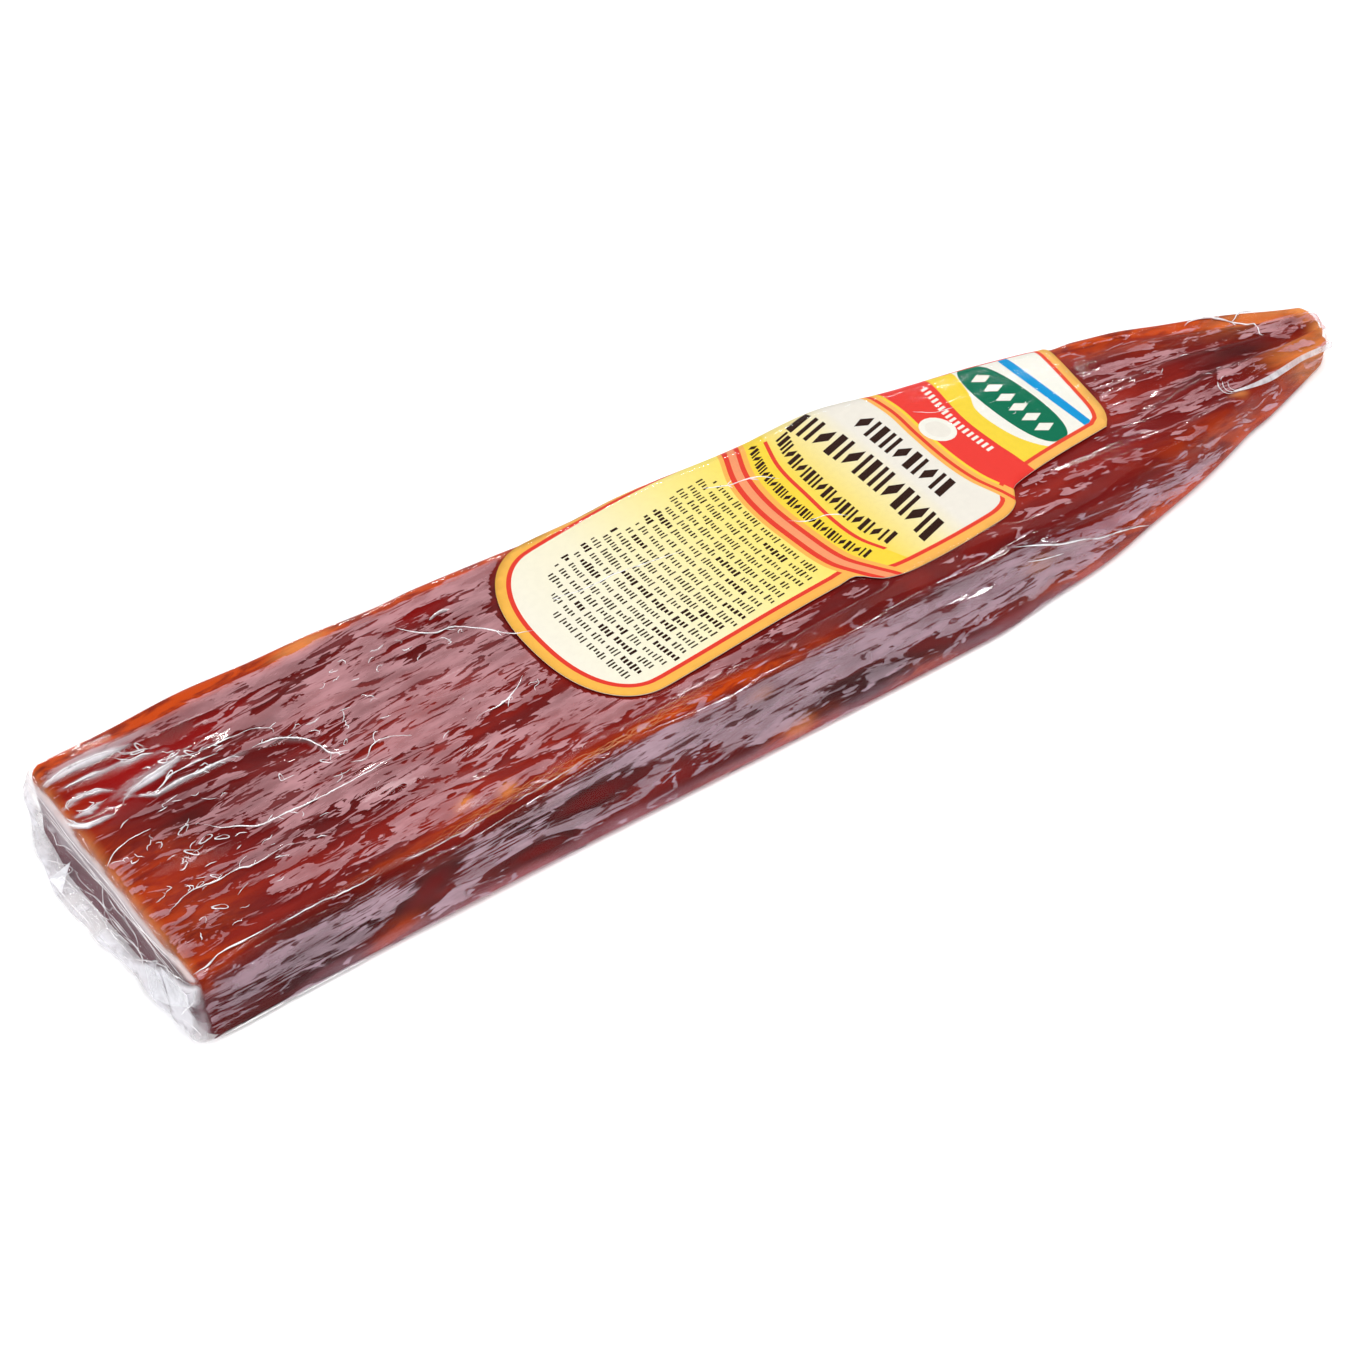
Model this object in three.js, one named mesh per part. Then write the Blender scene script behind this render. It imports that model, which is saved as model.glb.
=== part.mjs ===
// A bar of cured poultry fillet in shrunk clear film, with a paper label on its top.
// Millimetres. While it is built, x runs along the bar from the cut face to the tip,
// y runs across it to the far side and z is up from the surface that it lies on.
// The finished model is centred on the middle of its underside.

import * as THREE from 'three';
import { mergeVertices } from 'three/addons/utils/BufferGeometryUtils.js';

const { lerp, smoothstep } = THREE.MathUtils;

// Driving dimensions of the bar

const BAR_LENGTH = 297.5;
const TAPER_START = 176;
const WIDTH_NEAR = 29.2;
const WIDTH_FAR = 34.2;
const HEIGHT_AT_CUT = 14.4;
const HEIGHT_MIDDLE = 20.4;
const HEIGHT_AT_TIP = 7.4;
const CROWN = 0.5;
const FOOT_RADIUS = 2;

// Each edge of the bar, as [distance from the cut face, place], joined by one smooth curve

const NEAR_FOOT = [
  [0, -30.4], [30, -29.6], [60, -WIDTH_NEAR], [TAPER_START, -WIDTH_NEAR], [193, -27],
  [210, -25], [225, -21.4], [242, -17.2], [262, -11.4], [273, -9.3], [285, -5.9], [BAR_LENGTH, -1.4],
];
const NEAR_TOP = [
  [0, -27.3], [22, -25.6], [45, -27.1], [68, -27.1], [88, -24.8], [125, -25],
  [TAPER_START, -22.4], [191, -23.1], [206, -21.2], [223, -18.8], [240, -16.4],
  [262, -10.2], [273, -7.8], [285, -4.6], [BAR_LENGTH, -0.4],
];
const FAR_TOP = [
  [0, 36.2], [26, 36.9], [53, 35.7], [75, 34.5], [99, 32.6], [115, 31.4], [130, 32.3],
  [156, 31.1], [TAPER_START, 31.9], [193, 28.8], [215, 27], [240, 23.6], [252, 22.4],
  [263, 19.5], [276, 15.8], [288, 12.2], [BAR_LENGTH, 9.8],
];
const FAR_FOOT = [
  [0, 33.2], [60, WIDTH_FAR], [TAPER_START, WIDTH_FAR], [193, 31.6], [215, 29],
  [240, 24.6], [263, 20], [288, 12], [BAR_LENGTH, 9.6],
];
const TOP_HEIGHT = [
  [0, HEIGHT_AT_CUT], [30, 15.6], [60, 17.7], [95, 19.8], [125, HEIGHT_MIDDLE],
  [TAPER_START, HEIGHT_MIDDLE], [193, 19.6], [215, 17.6], [240, 15], [262, 12],
  [285, 9.2], [BAR_LENGTH, HEIGHT_AT_TIP],
];
const SHOULDER_RADIUS = [[0, 2.4], [40, 3.4], [100, 4.4], [200, 4.2], [262, 3], [BAR_LENGTH, 2.2]];

// Mesh density of the bar

const STATION_STEP = 3.6;
const UNDERSIDE_STEPS = 5;
const SIDE_STEPS = 4;
const TOP_STEPS = 16;
const CORNER_STEPS = 5;

// Relief of the film and of the meat under it

const RELIEF_START = 1;
const RELIEF_FULL = 5;
const TOP_BLEND = [0.5, 2.5];
const NEAR_SIDE_BLEND = [1, 5];
const GRAIN_DEPTH = 0.14;
const GRAIN_WAVES = [
  { x: 0.11, y: 0.62, z: 0, phase: 0 },
  { x: 0.07, y: -0.41, z: 0, phase: 1.3 },
  { x: 0.19, y: 0.25, z: 0.9, phase: 4 },
];
const PLEATS_ACROSS = 4.2;
const PLEAT_WANDER = 0.16;
const PLEAT_WANDER_LENGTH = 140;
const PLEAT_DEPTH = 0.75;
const PLEAT_DEPTH_AT_SIDE = 0.52;
const PLEAT_START = 196;
const PLEAT_FULL = 262;
const DENTS = [
  { x: 14, y: 21, length: 13, width: 5, depth: 1.3 },
  { x: 34, y: 25, length: 16, width: 4, depth: 1 },
  { x: 46, y: 9, length: 15, width: 7, depth: 0.8 },
  { x: 22, y: -6, length: 14, width: 8, depth: 0.5 },
  { x: 68, y: -14, length: 16, width: 5, depth: 0.6 },
];

// Raised folds of the film: on the near side of the taper, and along the top of the tip

const SIDE_FOLD = { from: [187, 16.5], to: [226, 3.2], height: 1.3, width: 3.4 };
const TIP_FOLD = { from: [262, -2.5], to: [BAR_LENGTH - 2, -0.4], height: 0.9, width: 2.2 };

// The cut end: the film rounds over the cut, lies in folds and spreads into a lip at the foot

const CUT_ROUNDING = [[0, 2.8], [0.4, 1.4], [1.3, 0.4], [3, 0], [4.8, 0.2]];
const CUT_BULGE = 0.4;
const CUT_INNER_SCALES = [0.56, 0.34, 0.14];
const CUT_HOLLOW = 0.9;
const LIP_REACH = 3.8;
const LIP_EDGE = 1.1;
const LIP_CENTRE = 12;
const LIP_SPREAD = 15;
const LIP_BASE = 0.4;
const LIP_HEIGHT = 5.5;
const FOLD_FADE_IN = [0, 0.25];
const FOLD_FADE_OUT = [0.8, 1];
const CUT_FOLDS = [
  { from: [-27, 2], to: [-13, 10], height: 1, width: 3 },
  { from: [-21, 1], to: [-5, 6.5], height: 0.8, width: 2.6 },
  { from: [24, 3], to: [33, 12], height: 0.8, width: 3 },
  { from: [8, 3.2], to: [24, 7.5], height: 0.6, width: 2.4 },
];

// The blunt end of the tip, drawn back on its near side

const TIP_SLANT = 0.3;
const TIP_SLANT_START = 250;
const TIP_ROUNDING = [[0, BAR_LENGTH - 2.6], [0.8, BAR_LENGTH - 0.9], [1.8, BAR_LENGTH - 0.1]];
const TIP_INNER_SCALES = [0.45, 0.2];
const TIP_BULGE = 0.3;

// The label: a thin plate on the top that turns down over the far edge

const LABEL_GAP = 0.4;
const LABEL_THICKNESS = 0.3;
const LABEL_START = 88.9;
const LABEL_END = 229.8;
const LABEL_END_SLANT = 6.5;
const LABEL_MIDDLE = 6;
const LABEL_ARCH = 14;
const LABEL_ARCH_POWER = 2.6;
const LABEL_LENGTH_STEPS = 36;
const LABEL_WIDTH_STEPS = 16;
const LABEL_FAR_CROWDING = 1.6;
const SMOOTH_BEFORE_LABEL = [6, 14];
const SMOOTH_AFTER_LABEL = [4, 10];
const SMOOTH_NEAR_LABEL = [0.02, 0.1];
const SMOOTH_BELOW_LABEL = [7, 10];
const LABEL_NEAR_EDGE = [
  [LABEL_START, -26], [106, -25.5], [133, -23.2], [147, -22.2], [151, -22], [155, -25.4],
  [163, -26.4], [184, -24.9], [190, -22.6], [194, -17.8], [LABEL_END, -10.6],
];
const LABEL_FAR_EDGE = [
  [LABEL_START, 21], [104, 23.4], [128, 26.2], [164, 28.6], [188, 27], [200, 24], [LABEL_END, 20],
];

// A cubic curve through the knots, with the slope at each knot taken from its neighbours

function alongBar(knots, x) {
  const last = knots.length - 1;
  const clamped = Math.min(Math.max(x, knots[0][0]), knots[last][0]);
  let i = 0;
  while (i < last - 1 && clamped > knots[i + 1][0]) i += 1;
  const slopeAt = (k) => {
    const before = knots[Math.max(k - 1, 0)];
    const after = knots[Math.min(k + 1, last)];
    return (after[1] - before[1]) / (after[0] - before[0]);
  };
  const [x0, y0] = knots[i];
  const [x1, y1] = knots[i + 1];
  const span = x1 - x0;
  const t = (clamped - x0) / span;
  const t2 = t * t;
  const t3 = t2 * t;
  return (2 * t3 - 3 * t2 + 1) * y0 + (t3 - 2 * t2 + t) * span * slopeAt(i)
    + (3 * t2 - 2 * t3) * y1 + (t3 - t2) * span * slopeAt(i + 1);
}

// A rounded corner between two straight sides, as points from one side to the other

function roundedCorner(before, corner, after, radius, steps) {
  const toBefore = before.clone().sub(corner).setLength(radius);
  const toAfter = after.clone().sub(corner).setLength(radius);
  const weight = Math.SQRT1_2;
  const points = [];
  for (let k = 0; k <= steps; k += 1) {
    const t = k / steps;
    const a = (1 - t) * (1 - t);
    const b = 2 * weight * t * (1 - t);
    const c = t * t;
    const point = corner.clone().addScaledVector(toBefore, a / (a + b + c));
    points.push(point.addScaledVector(toAfter, c / (a + b + c)));
  }
  return points;
}

// The plain section of the bar at one station: a closed row of points (y, z) that starts
// at the near end of the underside

function plainSection(x) {
  const height = alongBar(TOP_HEIGHT, x);
  const shoulder = alongBar(SHOULDER_RADIUS, x);
  const foot = Math.min(FOOT_RADIUS, height * 0.25);
  const corners = [
    new THREE.Vector2(alongBar(NEAR_FOOT, x), 0),
    new THREE.Vector2(alongBar(FAR_FOOT, x), 0),
    new THREE.Vector2(alongBar(FAR_TOP, x), height),
    new THREE.Vector2(alongBar(NEAR_TOP, x), height),
  ];
  const radii = [foot, foot, shoulder, shoulder];
  const steps = [UNDERSIDE_STEPS, SIDE_STEPS, TOP_STEPS, SIDE_STEPS];
  const arcs = corners.map((corner, k) => roundedCorner(
    corners[(k + 3) % 4], corner, corners[(k + 1) % 4], radii[k], CORNER_STEPS,
  ));
  const points = [];
  arcs.forEach((arc, k) => {
    const next = arcs[(k + 1) % 4][0];
    const last = arc[CORNER_STEPS];
    points.push(...arc);
    for (let s = 1; s < steps[k]; s += 1) {
      points.push(last.clone().lerp(next, s / steps[k]));
    }
  });
  return points;
}

// How high a fold stands at a point, for a fold along a straight line in that plane

function foldHeight(fold, u, v) {
  const start = new THREE.Vector2(...fold.from);
  const line = new THREE.Vector2(...fold.to).sub(start);
  const point = new THREE.Vector2(u, v).sub(start);
  const t = Math.min(Math.max(point.dot(line) / line.lengthSq(), 0), 1);
  const away = point.addScaledVector(line, -t).length() / fold.width;
  const fade = smoothstep(t, ...FOLD_FADE_IN) * (1 - smoothstep(t, ...FOLD_FADE_OUT));
  return away < 1 ? fold.height * (1 - away) * (1 - away) * fade : 0;
}

// 1 where the surface is free to ripple and 0 where the label holds it smooth

function besideLabel(x, across, depth) {
  return Math.max(
    smoothstep(LABEL_START - x, ...SMOOTH_BEFORE_LABEL),
    smoothstep(x - LABEL_END, ...SMOOTH_AFTER_LABEL),
    1 - smoothstep(across, ...SMOOTH_NEAR_LABEL),
    smoothstep(depth, ...SMOOTH_BELOW_LABEL),
  );
}

// The relief of the bar, outwards from its plain section

function relief(x, y, z) {
  const top = alongBar(TOP_HEIGHT, x);
  const near = alongBar(NEAR_TOP, x);
  const far = alongBar(FAR_TOP, x);
  const across = (y - near) / (far - near);
  const onTop = 1 - smoothstep(top - z, ...TOP_BLEND);
  const onNearSide = 1 - smoothstep(y - near, ...NEAR_SIDE_BLEND);
  const grain = GRAIN_WAVES.reduce(
    (sum, wave) => sum + Math.sin(wave.x * x + wave.y * y + wave.z * z + wave.phase),
    0,
  );
  const wander = PLEAT_WANDER * Math.sin((2 * Math.PI * x) / PLEAT_WANDER_LENGTH);
  const pleatDepth = lerp(PLEAT_DEPTH_AT_SIDE, PLEAT_DEPTH, onTop)
    * smoothstep(x, PLEAT_START, PLEAT_FULL);
  const pleat = Math.cos(2 * Math.PI * (PLEATS_ACROSS * across + wander));
  let out = (GRAIN_DEPTH * grain + pleatDepth * pleat) * besideLabel(x, across, top - z);
  for (const dent of DENTS) {
    const away = ((x - dent.x) / dent.length) ** 2 + ((y - dent.y) / dent.width) ** 2;
    out -= onTop * dent.depth * Math.exp(-away);
  }
  out += onNearSide * foldHeight(SIDE_FOLD, x, z);
  out += onTop * foldHeight(TIP_FOLD, x, y);
  out += onTop * CROWN * 4 * across * (1 - across);
  return out * smoothstep(z, RELIEF_START, RELIEF_FULL);
}

// The section with its relief, in three dimensions

function reliefSection(x) {
  const plain = plainSection(x);
  const count = plain.length;
  const slant = TIP_SLANT * smoothstep(x, TIP_SLANT_START, BAR_LENGTH);
  return plain.map((point, k) => {
    const along = plain[(k + 1) % count].clone().sub(plain[(k + count - 1) % count]).normalize();
    const out = relief(x, point.x, point.y);
    const drawnBack = slant * (alongBar(FAR_TOP, x) - point.x);
    return new THREE.Vector3(x - drawnBack, point.x + out * along.y, point.y - out * along.x);
  });
}

// A section drawn in towards its middle, by a distance or by a scale

function insetSection(section, inset, scale) {
  const box = new THREE.Box3().setFromPoints(section);
  const middle = box.getCenter(new THREE.Vector3());
  const half = box.getSize(new THREE.Vector3()).multiplyScalar(0.5);
  return section.map((point) => new THREE.Vector3(
    point.x,
    middle.y + (point.y - middle.y) * scale * (1 - inset / half.y),
    middle.z + (point.z - middle.z) * scale * (1 - inset / half.z),
  ));
}

// How far the film of the cut end stands out from the cut, at one place on it

function cutEndReach(y, z) {
  const lipAcross = LIP_EDGE + LIP_REACH * Math.exp(-(((y - LIP_CENTRE) / LIP_SPREAD) ** 2));
  const lip = lipAcross * (1 - smoothstep(z, LIP_BASE, LIP_HEIGHT));
  const folds = CUT_FOLDS.reduce((sum, fold) => sum + foldHeight(fold, y, z), 0);
  return lip + folds;
}

function cutEndRings() {
  const rings = [];
  const last = CUT_ROUNDING.length - 1;
  CUT_ROUNDING.forEach(([inset, x], k) => {
    const ring = insetSection(reliefSection(x), inset, 1);
    const bulge = CUT_BULGE * (k / last);
    const filmShare = smoothstep(k, -1, 1);
    ring.forEach((point) => {
      point.x = x - bulge - cutEndReach(point.y, point.z) * filmShare;
    });
    rings.unshift(ring);
  });
  const inner = insetSection(reliefSection(0), CUT_ROUNDING[last][0], 1);
  CUT_INNER_SCALES.forEach((scale) => {
    const ring = insetSection(inner, 0, scale);
    ring.forEach((point) => {
      point.x = CUT_HOLLOW * (1 - scale) - cutEndReach(point.y, point.z);
    });
    rings.unshift(ring);
  });
  return rings;
}

function tipRings() {
  const rings = TIP_ROUNDING.map(([inset, x]) => insetSection(reliefSection(x), inset, 1));
  const inner = rings[rings.length - 1];
  TIP_INNER_SCALES.forEach((scale) => {
    const ring = insetSection(inner, 0, scale);
    ring.forEach((point) => {
      point.x += TIP_BULGE * (1 - scale);
    });
    rings.push(ring);
  });
  return rings;
}

// One closed skin over a row of rings, with a point at the middle of each end ring

function skinOverRings(rings) {
  const count = rings[0].length;
  const points = rings.flat();
  const faces = [];
  for (let i = 0; i + 1 < rings.length; i += 1) {
    for (let k = 0; k < count; k += 1) {
      const a = i * count + k;
      const b = i * count + ((k + 1) % count);
      faces.push(a, b, b + count, a, b + count, a + count);
    }
  }
  const middleOf = (ring) => new THREE.Box3().setFromPoints(ring).getCenter(new THREE.Vector3());
  const lastRing = (rings.length - 1) * count;
  const startPoint = points.push(middleOf(rings[0])) - 1;
  const endPoint = points.push(middleOf(rings[rings.length - 1])) - 1;
  for (let k = 0; k < count; k += 1) {
    const next = (k + 1) % count;
    faces.push(startPoint, next, k);
    faces.push(endPoint, lastRing + k, lastRing + next);
  }
  const geometry = new THREE.BufferGeometry().setFromPoints(points);
  geometry.setIndex(faces);
  return geometry;
}

function sealedPackGeometry() {
  const first = CUT_ROUNDING[0][1];
  const last = TIP_ROUNDING[0][1];
  const stations = Math.round((last - first) / STATION_STEP);
  const middle = [];
  for (let i = 1; i < stations; i += 1) {
    middle.push(reliefSection(lerp(first, last, i / stations)));
  }
  return mergeVertices(skinOverRings([...cutEndRings(), ...middle, ...tipRings()]), 1e-4);
}

// The point at a distance across the top of the bar, measured along the skin from the
// line of the label's middle, and lifted off the skin

function onTopSkin(x, across, lift) {
  const section = reliefSection(x);
  const farFootEnd = CORNER_STEPS + UNDERSIDE_STEPS + CORNER_STEPS;
  const nearFootStart = section.length - SIDE_STEPS + 1;
  const path = section.slice(farFootEnd, nearFootStart).reverse();
  const start = path.findIndex((point) => point.y > LABEL_MIDDLE);
  const gap = (LABEL_MIDDLE - path[start - 1].y) / (path[start].y - path[start - 1].y);
  const spans = path.slice(1).map((point, k) => point.distanceTo(path[k]));
  const before = spans.slice(0, start - 1).reduce((sum, span) => sum + span, 0);
  let rest = before + gap * spans[start - 1] + across;
  let k = 0;
  while (k < spans.length - 1 && rest > spans[k]) {
    rest -= spans[k];
    k += 1;
  }
  const t = rest / spans[k];
  const tangentAt = (i) => path[Math.min(i + 1, path.length - 1)].clone()
    .sub(path[Math.max(i - 1, 0)]);
  const tangent = tangentAt(k).lerp(tangentAt(k + 1), t).normalize();
  const point = path[k].clone().lerp(path[k + 1], t);
  return point.add(new THREE.Vector3(0, -tangent.z, tangent.y).multiplyScalar(lift));
}

// The label's own grid: lengthways 0 to 1 from its cut-end side, across 0 to 1 from near to far

function labelPoint(lengthways, across, lift) {
  const arch = (1 - Math.abs(2 * across - 1) ** LABEL_ARCH_POWER) ** (1 / LABEL_ARCH_POWER);
  const start = LABEL_START + LABEL_ARCH * (1 - arch);
  const end = LABEL_END + LABEL_END_SLANT * (across - 0.5);
  const x = lerp(start, end, lengthways);
  const near = alongBar(LABEL_NEAR_EDGE, x);
  const far = alongBar(LABEL_FAR_EDGE, x);
  return onTopSkin(x, lerp(near, far, across), lift);
}

function labelGeometry() {
  const points = [];
  const faces = [];
  const row = LABEL_WIDTH_STEPS + 1;
  const sheet = row * (LABEL_LENGTH_STEPS + 1);
  for (const lift of [LABEL_GAP, LABEL_GAP + LABEL_THICKNESS]) {
    for (let i = 0; i <= LABEL_LENGTH_STEPS; i += 1) {
      for (let k = 0; k <= LABEL_WIDTH_STEPS; k += 1) {
        const across = 1 - (1 - k / LABEL_WIDTH_STEPS) ** LABEL_FAR_CROWDING;
        points.push(labelPoint(i / LABEL_LENGTH_STEPS, across, lift));
      }
    }
  }
  for (let i = 0; i < LABEL_LENGTH_STEPS; i += 1) {
    for (let k = 0; k < LABEL_WIDTH_STEPS; k += 1) {
      const a = i * row + k;
      const b = a + row;
      faces.push(a, a + 1, b + 1, a, b + 1, b);
      faces.push(sheet + a, sheet + b + 1, sheet + a + 1, sheet + a, sheet + b, sheet + b + 1);
    }
  }
  const closeEdge = (a, b) => faces.push(a, b, sheet + b, a, sheet + b, sheet + a);
  for (let i = 0; i < LABEL_LENGTH_STEPS; i += 1) {
    closeEdge(i * row, (i + 1) * row);
    closeEdge((i + 2) * row - 1, (i + 1) * row - 1);
  }
  for (let k = 0; k < LABEL_WIDTH_STEPS; k += 1) {
    closeEdge(k + 1, k);
    closeEdge(LABEL_LENGTH_STEPS * row + k, LABEL_LENGTH_STEPS * row + k + 1);
  }
  const geometry = new THREE.BufferGeometry().setFromPoints(points);
  geometry.setIndex(faces);
  return geometry;
}

// Each finish, and the two solids

const filmOverMeat = new THREE.MeshStandardMaterial({ color: 0x7d2f2a, roughness: 0.22, metalness: 0 });
const labelPaper = new THREE.MeshStandardMaterial({ color: 0xf0dfa0, roughness: 0.4, metalness: 0 });

const sealedPack = new THREE.Mesh(sealedPackGeometry(), filmOverMeat);
sealedPack.name = 'sealed_pack';

const label = new THREE.Mesh(labelGeometry(), labelPaper);
label.name = 'label';

const fillet = new THREE.Group();
fillet.add(sealedPack, label);

const bounds = new THREE.Box3().setFromObject(fillet);
const middle = bounds.getCenter(new THREE.Vector3());
fillet.position.set(-middle.x, -middle.y, -bounds.min.z);

export default fillet;
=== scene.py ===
"""A bar of cured poultry fillet in shrunk clear film, with a printed label under the film.

Every shape is worked out in the bar's own frame, in millimetres: x along the bar from the
cut face, y across it to the far side and z up. It is turned into metres in the row frame
when a mesh is made. A place on the skin is (x, s), with s the distance round the bar from
the line that runs along the middle of the label, positive to the far side.
"""

import logging
import math
from dataclasses import dataclass
from enum import Enum
from itertools import product
from typing import Callable, Iterable, Sequence

import bpy
import numpy as np
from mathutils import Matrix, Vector, noise
from mathutils.bvhtree import BVHTree
from mathutils.geometry import delaunay_2d_cdt

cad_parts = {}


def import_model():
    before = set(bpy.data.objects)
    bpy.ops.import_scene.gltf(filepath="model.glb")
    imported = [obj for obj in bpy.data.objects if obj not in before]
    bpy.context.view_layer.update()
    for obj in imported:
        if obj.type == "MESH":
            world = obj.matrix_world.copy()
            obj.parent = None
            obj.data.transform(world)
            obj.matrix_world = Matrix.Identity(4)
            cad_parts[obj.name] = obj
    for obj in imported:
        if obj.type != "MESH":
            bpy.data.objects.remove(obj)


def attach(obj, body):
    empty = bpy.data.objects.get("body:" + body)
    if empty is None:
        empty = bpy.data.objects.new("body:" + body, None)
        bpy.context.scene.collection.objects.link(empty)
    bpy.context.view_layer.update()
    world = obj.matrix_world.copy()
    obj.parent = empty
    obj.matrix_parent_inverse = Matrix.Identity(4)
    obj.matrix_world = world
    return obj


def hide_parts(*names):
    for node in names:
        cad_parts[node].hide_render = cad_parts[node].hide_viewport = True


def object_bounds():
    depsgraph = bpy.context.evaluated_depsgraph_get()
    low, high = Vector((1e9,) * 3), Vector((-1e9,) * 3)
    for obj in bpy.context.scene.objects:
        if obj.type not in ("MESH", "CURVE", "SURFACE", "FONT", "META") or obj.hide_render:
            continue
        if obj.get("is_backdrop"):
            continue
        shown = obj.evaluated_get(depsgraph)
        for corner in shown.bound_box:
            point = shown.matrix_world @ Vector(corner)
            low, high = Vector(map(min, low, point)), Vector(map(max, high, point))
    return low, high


Array = np.ndarray
Colour = tuple[float, float, float]
Faces = list[tuple[int, ...]]
Material = bpy.types.Material
Object = bpy.types.Object
Outline = tuple[tuple[float, float], ...]
Point = tuple[float, float, float]
Socket = bpy.types.NodeSocket

LOG = logging.getLogger("fillet")
MM = 0.001
BAR_TO_ROW = np.array([-146.8337, -3.2527, 0.0])
PACK_NODE = "sealed_pack"
LABEL_NODE = "label"
TAPER_STARTS, TAPER_FULL = 190, 222


def rise(value: Array, start: float, end: float) -> Array:
    """Rises smoothly from 0 at start to 1 at end."""
    t = np.clip((np.asarray(value, float) - start) / (end - start), 0, 1)
    return t * t * (3 - 2 * t)


def fall(value: Array, start: float, end: float) -> Array:
    """Falls smoothly from 1 at start to 0 at end."""
    return 1 - rise(value, start, end)


def to_row(points: Array) -> Array:
    """Turns millimetres of the bar's own frame into metres of the row frame."""
    return (np.asarray(points, float) + BAR_TO_ROW) * MM


def total(parts: Iterable, x: Array, s: Array) -> Array:
    """The sum of what some patches, ripples or folds give at some places."""
    return sum(part.at(x, s) for part in parts)


def beside_line(u: Array, v: Array, start: Sequence, end: Sequence) -> tuple[Array, Array]:
    """Finds where some places lie beside a straight line.

    Args:
        u: First coordinates of the places.
        v: Second coordinates of them.
        start: Where the line starts.
        end: Where it ends.

    Returns:
        The share of the line nearest to each place, and the distance to it.
    """
    line = np.subtract(end, start)
    du, dv = u - start[0], v - start[1]
    t = np.clip((du * line[0] + dv * line[1]) / (line @ line), 0, 1)
    return t, np.hypot(du - t * line[0], dv - t * line[1])


def drawn_in(section: Array, inset: float = 0.0, scale: float = 1.0) -> Array:
    """Draws a section in towards its middle.

    Args:
        section: Points of one section.
        inset: By how much each side moves in.
        scale: What the rest is then scaled by.

    Returns:
        The new points.
    """
    low, high = section.min(axis=0)[1:], section.max(axis=0)[1:]
    middle, half = (low + high) / 2, (high - low) / 2
    ring = section.copy()
    ring[:, 1:] = middle + (section[:, 1:] - middle) * (scale * (1 - inset / half))
    return ring


@dataclass(frozen=True)
class Profile:
    """A smooth curve through knots: a place across the bar for each place along it."""

    knots: Outline

    def at(self, x: Array) -> Array:
        """Reads the curve, which is held level beyond its ends.

        Args:
            x: Places along the bar.

        Returns:
            The curve's value at each place.
        """
        kx, ky = np.array(self.knots, float).T
        slopes = np.empty_like(ky)
        slopes[1:-1] = (ky[2:] - ky[:-2]) / (kx[2:] - kx[:-2])
        slopes[[0, -1]] = (ky[[1, -1]] - ky[[0, -2]]) / (kx[[1, -1]] - kx[[0, -2]])
        xc = np.clip(np.asarray(x, float), kx[0], kx[-1])
        i = np.clip(np.searchsorted(kx, xc, side="left") - 1, 0, len(kx) - 2)
        span = kx[i + 1] - kx[i]
        t = (xc - kx[i]) / span
        t2, t3 = t * t, t * t * t
        return (
            (2 * t3 - 3 * t2 + 1) * ky[i]
            + (t3 - 2 * t2 + t) * span * slopes[i]
            + (3 * t2 - 2 * t3) * ky[i + 1]
            + (t3 - t2) * span * slopes[i + 1]
        )

    @classmethod
    def path(cls, knots: Array, measure: Array, at: Array) -> Array:
        """Points of a smooth line through knots, read at some of their rising measures."""
        columns = [cls(tuple(zip(measure, column))).at(at) for column in knots.T]
        return np.stack(columns, -1)


@dataclass(frozen=True)
class BarSize:
    """Driving sizes of the bar, in millimetres."""

    length: float = 297.5
    crown: float = 0.5
    foot_radius: float = 2.0
    near_foot: Profile = Profile((
        (0, -30.4), (30, -29.6), (60, -29.2), (176, -29.2), (193, -27), (210, -25), (225, -21.4),
        (242, -17.2), (262, -11.4), (273, -9.3), (285, -5.9), (297.5, -1.4),
    ))
    near_top: Profile = Profile((
        (0, -27.3), (22, -25.6), (45, -27.1), (68, -27.1), (88, -24.8), (125, -25), (176, -22.4),
        (191, -23.1), (206, -21.2), (223, -18.8), (240, -16.4), (262, -10.2), (273, -7.8),
        (285, -4.6), (297.5, -0.4),
    ))
    far_top: Profile = Profile((
        (0, 36.2), (26, 36.9), (53, 35.7), (75, 34.5), (99, 32.6), (115, 31.4), (130, 32.3),
        (156, 31.1), (176, 31.9), (193, 28.8), (215, 27), (240, 23.6), (252, 22.4), (263, 19.5),
        (276, 15.8), (288, 12.2), (297.5, 9.8),
    ))
    far_foot: Profile = Profile((
        (0, 33.2), (60, 34.2), (176, 34.2), (193, 31.6), (215, 29), (240, 24.6), (263, 20),
        (288, 12), (297.5, 9.6),
    ))
    top_height: Profile = Profile((
        (0, 14.4), (30, 15.6), (60, 17.7), (95, 19.8), (125, 20.4), (176, 20.4), (193, 19.6),
        (215, 17.6), (240, 15), (262, 12), (285, 9.2), (297.5, 7.4),
    ))
    shoulder_radius: Profile = Profile((
        (0, 1.3), (40, 1.9), (100, 3.6), (200, 4), (262, 2.8), (297.5, 2),
    ))


@dataclass(frozen=True)
class Ring:
    """How many points a section has along each part of it."""

    underside: int = 44
    far_side: int = 11
    top: int = 88
    near_side: int = 26
    corner: int = 7

    @property
    def count(self) -> int:
        """All the points of one section."""
        sides = self.underside + self.far_side + self.top + self.near_side - 4
        return sides + 4 * (self.corner + 1)


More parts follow.
